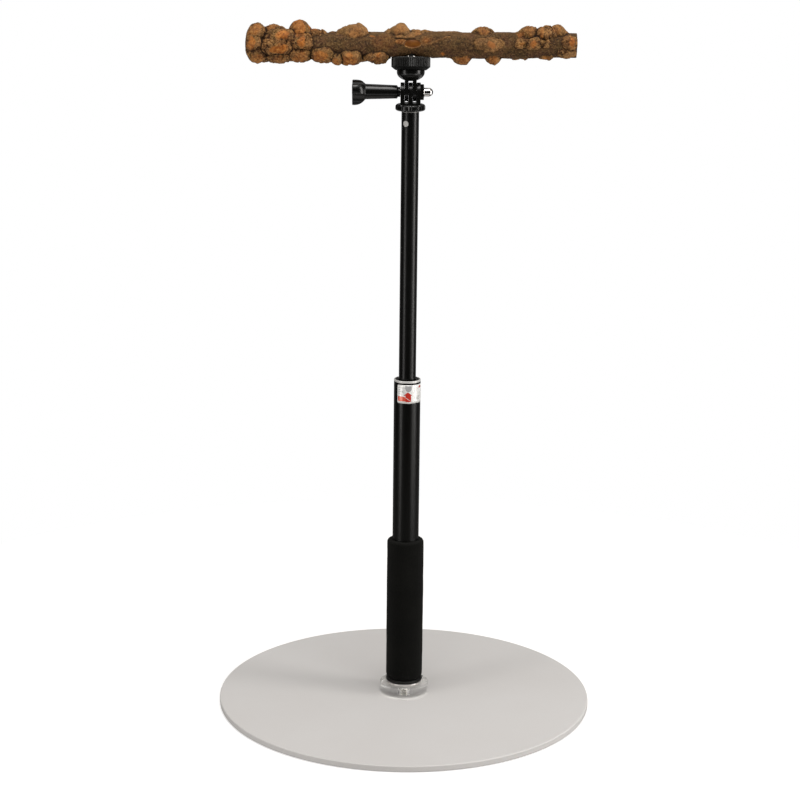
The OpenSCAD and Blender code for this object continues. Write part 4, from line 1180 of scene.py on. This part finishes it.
tone = np.where(lip + corner + eye_rim + chip > 0.4, 0.85, tone)
# These knobs are painted darker, as painted shade.
for middle, up, length, half, amount in PAINTED_SHADE_KNOBS:
    tone *= 1 - amount * soft_step(patch(middle, up, length, half), 0.0, 0.5)
masks = {"cork": cork, "warm": warm, "crease": crease, "crest_wear_and_highlight": crest_wear_and_highlight, "tone": tone, "eye": eye}
for name, values in masks.items():
    layer = branch.attributes.new(name, "FLOAT", "POINT")
    layer.data.foreach_set("value", values.astype(np.float32))

bm = bmesh.new()
bm.from_mesh(branch)
bpy.data.meshes.remove(branch)
for end in (-1, 1):
    cut_at = end * (HALF_LENGTH - 0.02) * MM
    edges = [e for e in bm.edges if e.is_boundary and e.verts[0].co.x * end > 0]
    before = 1.0
    for shrink in (0.965, 0.8, 0.5, 0.2):
        loop, edges = grown(bm, edges)
        for vert in loop:
            vert.co.y *= shrink / before
            vert.co.z *= shrink / before
            vert.co.x = cut_at
        before = shrink
    bmesh.ops.pointmerge(bm, verts=loop, merge_co=(cut_at, 0, 0))
bmesh.ops.triangulate(bm, faces=bm.faces)
bmesh.ops.recalc_face_normals(bm, faces=bm.faces)


def layered(colour, *layers):
    """The colour under others: each is a pattern, where it starts and is full, a share and a colour."""
    for pattern, start, full, share, over in layers:
        colour = tint(times(between(pattern, start, full), share), colour, over)
    return colour


perch_wood, tree, shader, spot = material("perch_wood", Roughness=0.75, Specular_IOR_Level=0.22)
untilted = {"Vector": spot, "Location": (0, 0, PIVOT_Z * MM), "Rotation": (math.radians(-LEAN_BACK), 0, 0)}
home = put(tree, "Mapping", untilted, vector_type="TEXTURE").outputs[0]
drawn = put(tree, "Mapping", {"Vector": home, "Scale": (0.45, 1, 1)}).outputs[0]
mask = {name: put(tree, "Attribute", attribute_name=name).outputs["Fac"] for name in masks}
coarse = mottle(drawn, 190.0, 4.0, 0.62)
medium = mottle(home, 560.0, 4.0, 0.7)
grit = mottle(home, 900.0, 2.0, 0.6)
sandy = mottle(home, 1500.0, 3.0, 0.65)
patchy = mottle(home, 120.0, 3.0)
bark_colour = layered(
    tint(between(coarse, 0.36, 0.64), (0.0504, 0.0221, 0.0062), (0.116, 0.0576, 0.019)),
    (patchy, 0.5, 0.66, 0.45, (0.112, 0.0442, 0.0213)),
    (patchy, 0.5, 0.34, 0.25, (0.07, 0.0456, 0.0101)),
    (medium, 0.52, 0.68, 0.7, (0.172, 0.0972, 0.0381)),
    (medium, 0.48, 0.32, 0.85, (0.0154, 0.0067, 0.0022)),
    (grit, 0.55, 0.70, 0.7, (0.231, 0.141, 0.0588)),
    (grit, 0.45, 0.32, 0.7, (0.0168, 0.0074, 0.0028)),
    (sandy, 0.64, 0.74, 0.8, (0.35, 0.241, 0.112)),
)
cork_colour = layered(
    tint(mask["tone"], (0.092, 0.032, 0.0062), (0.235, 0.098, 0.026)),
    (coarse, 0.51, 0.60, 0.65, (0.37, 0.175, 0.055)),
    (coarse, 0.49, 0.40, 0.75, (0.050, 0.018, 0.005)),
    (patchy, 0.48, 0.62, 0.45, (0.154, 0.0905, 0.019)),
    (medium, 0.52, 0.62, 0.6, (0.42, 0.22, 0.078)),
    (medium, 0.48, 0.38, 0.85, (0.036, 0.013, 0.003)),
    (grit, 0.55, 0.66, 0.6, (0.44, 0.25, 0.10)),
    (grit, 0.45, 0.34, 0.7, (0.024, 0.009, 0.003)),
)
rubbed_colour = layered(
    tint(between(coarse, 0.36, 0.64), (0.27, 0.074, 0.007), (0.45, 0.155, 0.026)),
    (medium, 0.48, 0.38, 0.8, (0.115, 0.034, 0.004)),
    (medium, 0.54, 0.64, 0.6, (0.58, 0.26, 0.06)),
)
face_grain = between(mottle(drawn, 330.0, 3.0), 0.35, 0.65)
eye_colour = tint(face_grain, (0.108, 0.0308, 0.0039), (0.175, 0.059, 0.0067))
wood_colour = tint(mask["cork"], bark_colour, cork_colour)
wood_colour = tint(mask["warm"], wood_colour, rubbed_colour)
wood_colour = tint(mask["eye"], wood_colour, eye_colour)
# The crests get their lighter colour, partly wear and partly painted highlight, and the hollows their painted
# shade.
wood_colour = tint(times(mask["crest_wear_and_highlight"], 0.50), wood_colour, (0.34, 0.18, 0.070))
wood_colour = tint(times(mask["crease"], 0.85), wood_colour, (0.0154, 0.0064, 0.0022))

# The sawn ends show rings round the heart of the branch.
place = put(tree, "SeparateXYZ", {0: home}).outputs[0]
end_grain = calc("GREATER_THAN", calc("ABSOLUTE", place), (HALF_LENGTH - 0.06) * MM)
heart = {"Vector": home, "Location": (0, 0, PERCH_UP * MM)}
growth = {
    "Vector": put(tree, "Mapping", heart, vector_type="TEXTURE").outputs[0],
    "Scale": 260.0, "Distortion": 1.6, "Detail Scale": 2.0,
}
year_rings = put(tree, "TexWave", growth, wave_type="RINGS", rings_direction="X").outputs[1]
sawn = tint(year_rings, (0.42, 0.26, 0.115), (0.27, 0.145, 0.055))
polished = calc("MAXIMUM", times(mask["warm"], 0.6), mask["eye"])
dull = calc("SUBTRACT", between(medium, 0.3, 0.7, 0.72, 0.90), times(polished, 0.42))
grain = calc("ADD", times(medium, 0.8), times(sandy, 0.4))
relieved = times(grain, calc("SUBTRACT", 1.0, times(polished, 0.85)))
bump = put(tree, "Bump", {"Height": relieved, "Distance": 0.0007})
feed(shader, Base_Color=tint(end_grain, wood_colour, sawn), Roughness=dull, Normal=bump.outputs[0])


def cut_colour(spot):
    """Fibres of freshly cut wood, drawn out along the branch."""
    fibres = put(spot.id_data, "Mapping", {"Vector": spot, "Scale": (0.08, 1, 1)}).outputs[0]
    return tint(between(mottle(fibres, 1500.0, 3.0), 0.35, 0.65), (0.22, 0.12, 0.045), (0.40, 0.25, 0.11))


fresh_cut = finished(
    "fresh_cut_wood", cut_colour,
    roughness=0.7, spread=0.1, grain=900.0, depth=0.00005, Specular_IOR_Level=0.25,
)
perch_place = LEAN @ Matrix.Translation((0, 0, PERCH_UP * MM))
perch = made("perch_branch_bark", bm, perch_wood, sharp=75, place=perch_place)
bore = [(0, 12), (15.7, 12), (15.7, INSERT_LOW), (7.0, INSERT_LOW), (7.0, 29.3), (4.06, 29.3)]
bore += [(4.06, 39.3), (0, 39.3)]
drill = made("drill", turned(bore, closed=False), fresh_cut, place=LEAN)
drilled = perch.modifiers.new("drilled", "BOOLEAN")
drilled.operation, drilled.object = "DIFFERENCE", drill
drilled.solver, drilled.material_mode = "MANIFOLD", "TRANSFER"
whole = perch.data
perch.data = bpy.data.meshes.new_from_object(perch.evaluated_get(bpy.context.evaluated_depsgraph_get()))
perch.modifiers.clear()
perch.data.set_sharp_from_angle(angle=math.radians(60))
bpy.data.meshes.remove(whole)
bpy.data.objects.remove(drill)
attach(perch, "perch")
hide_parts("perch_branch")
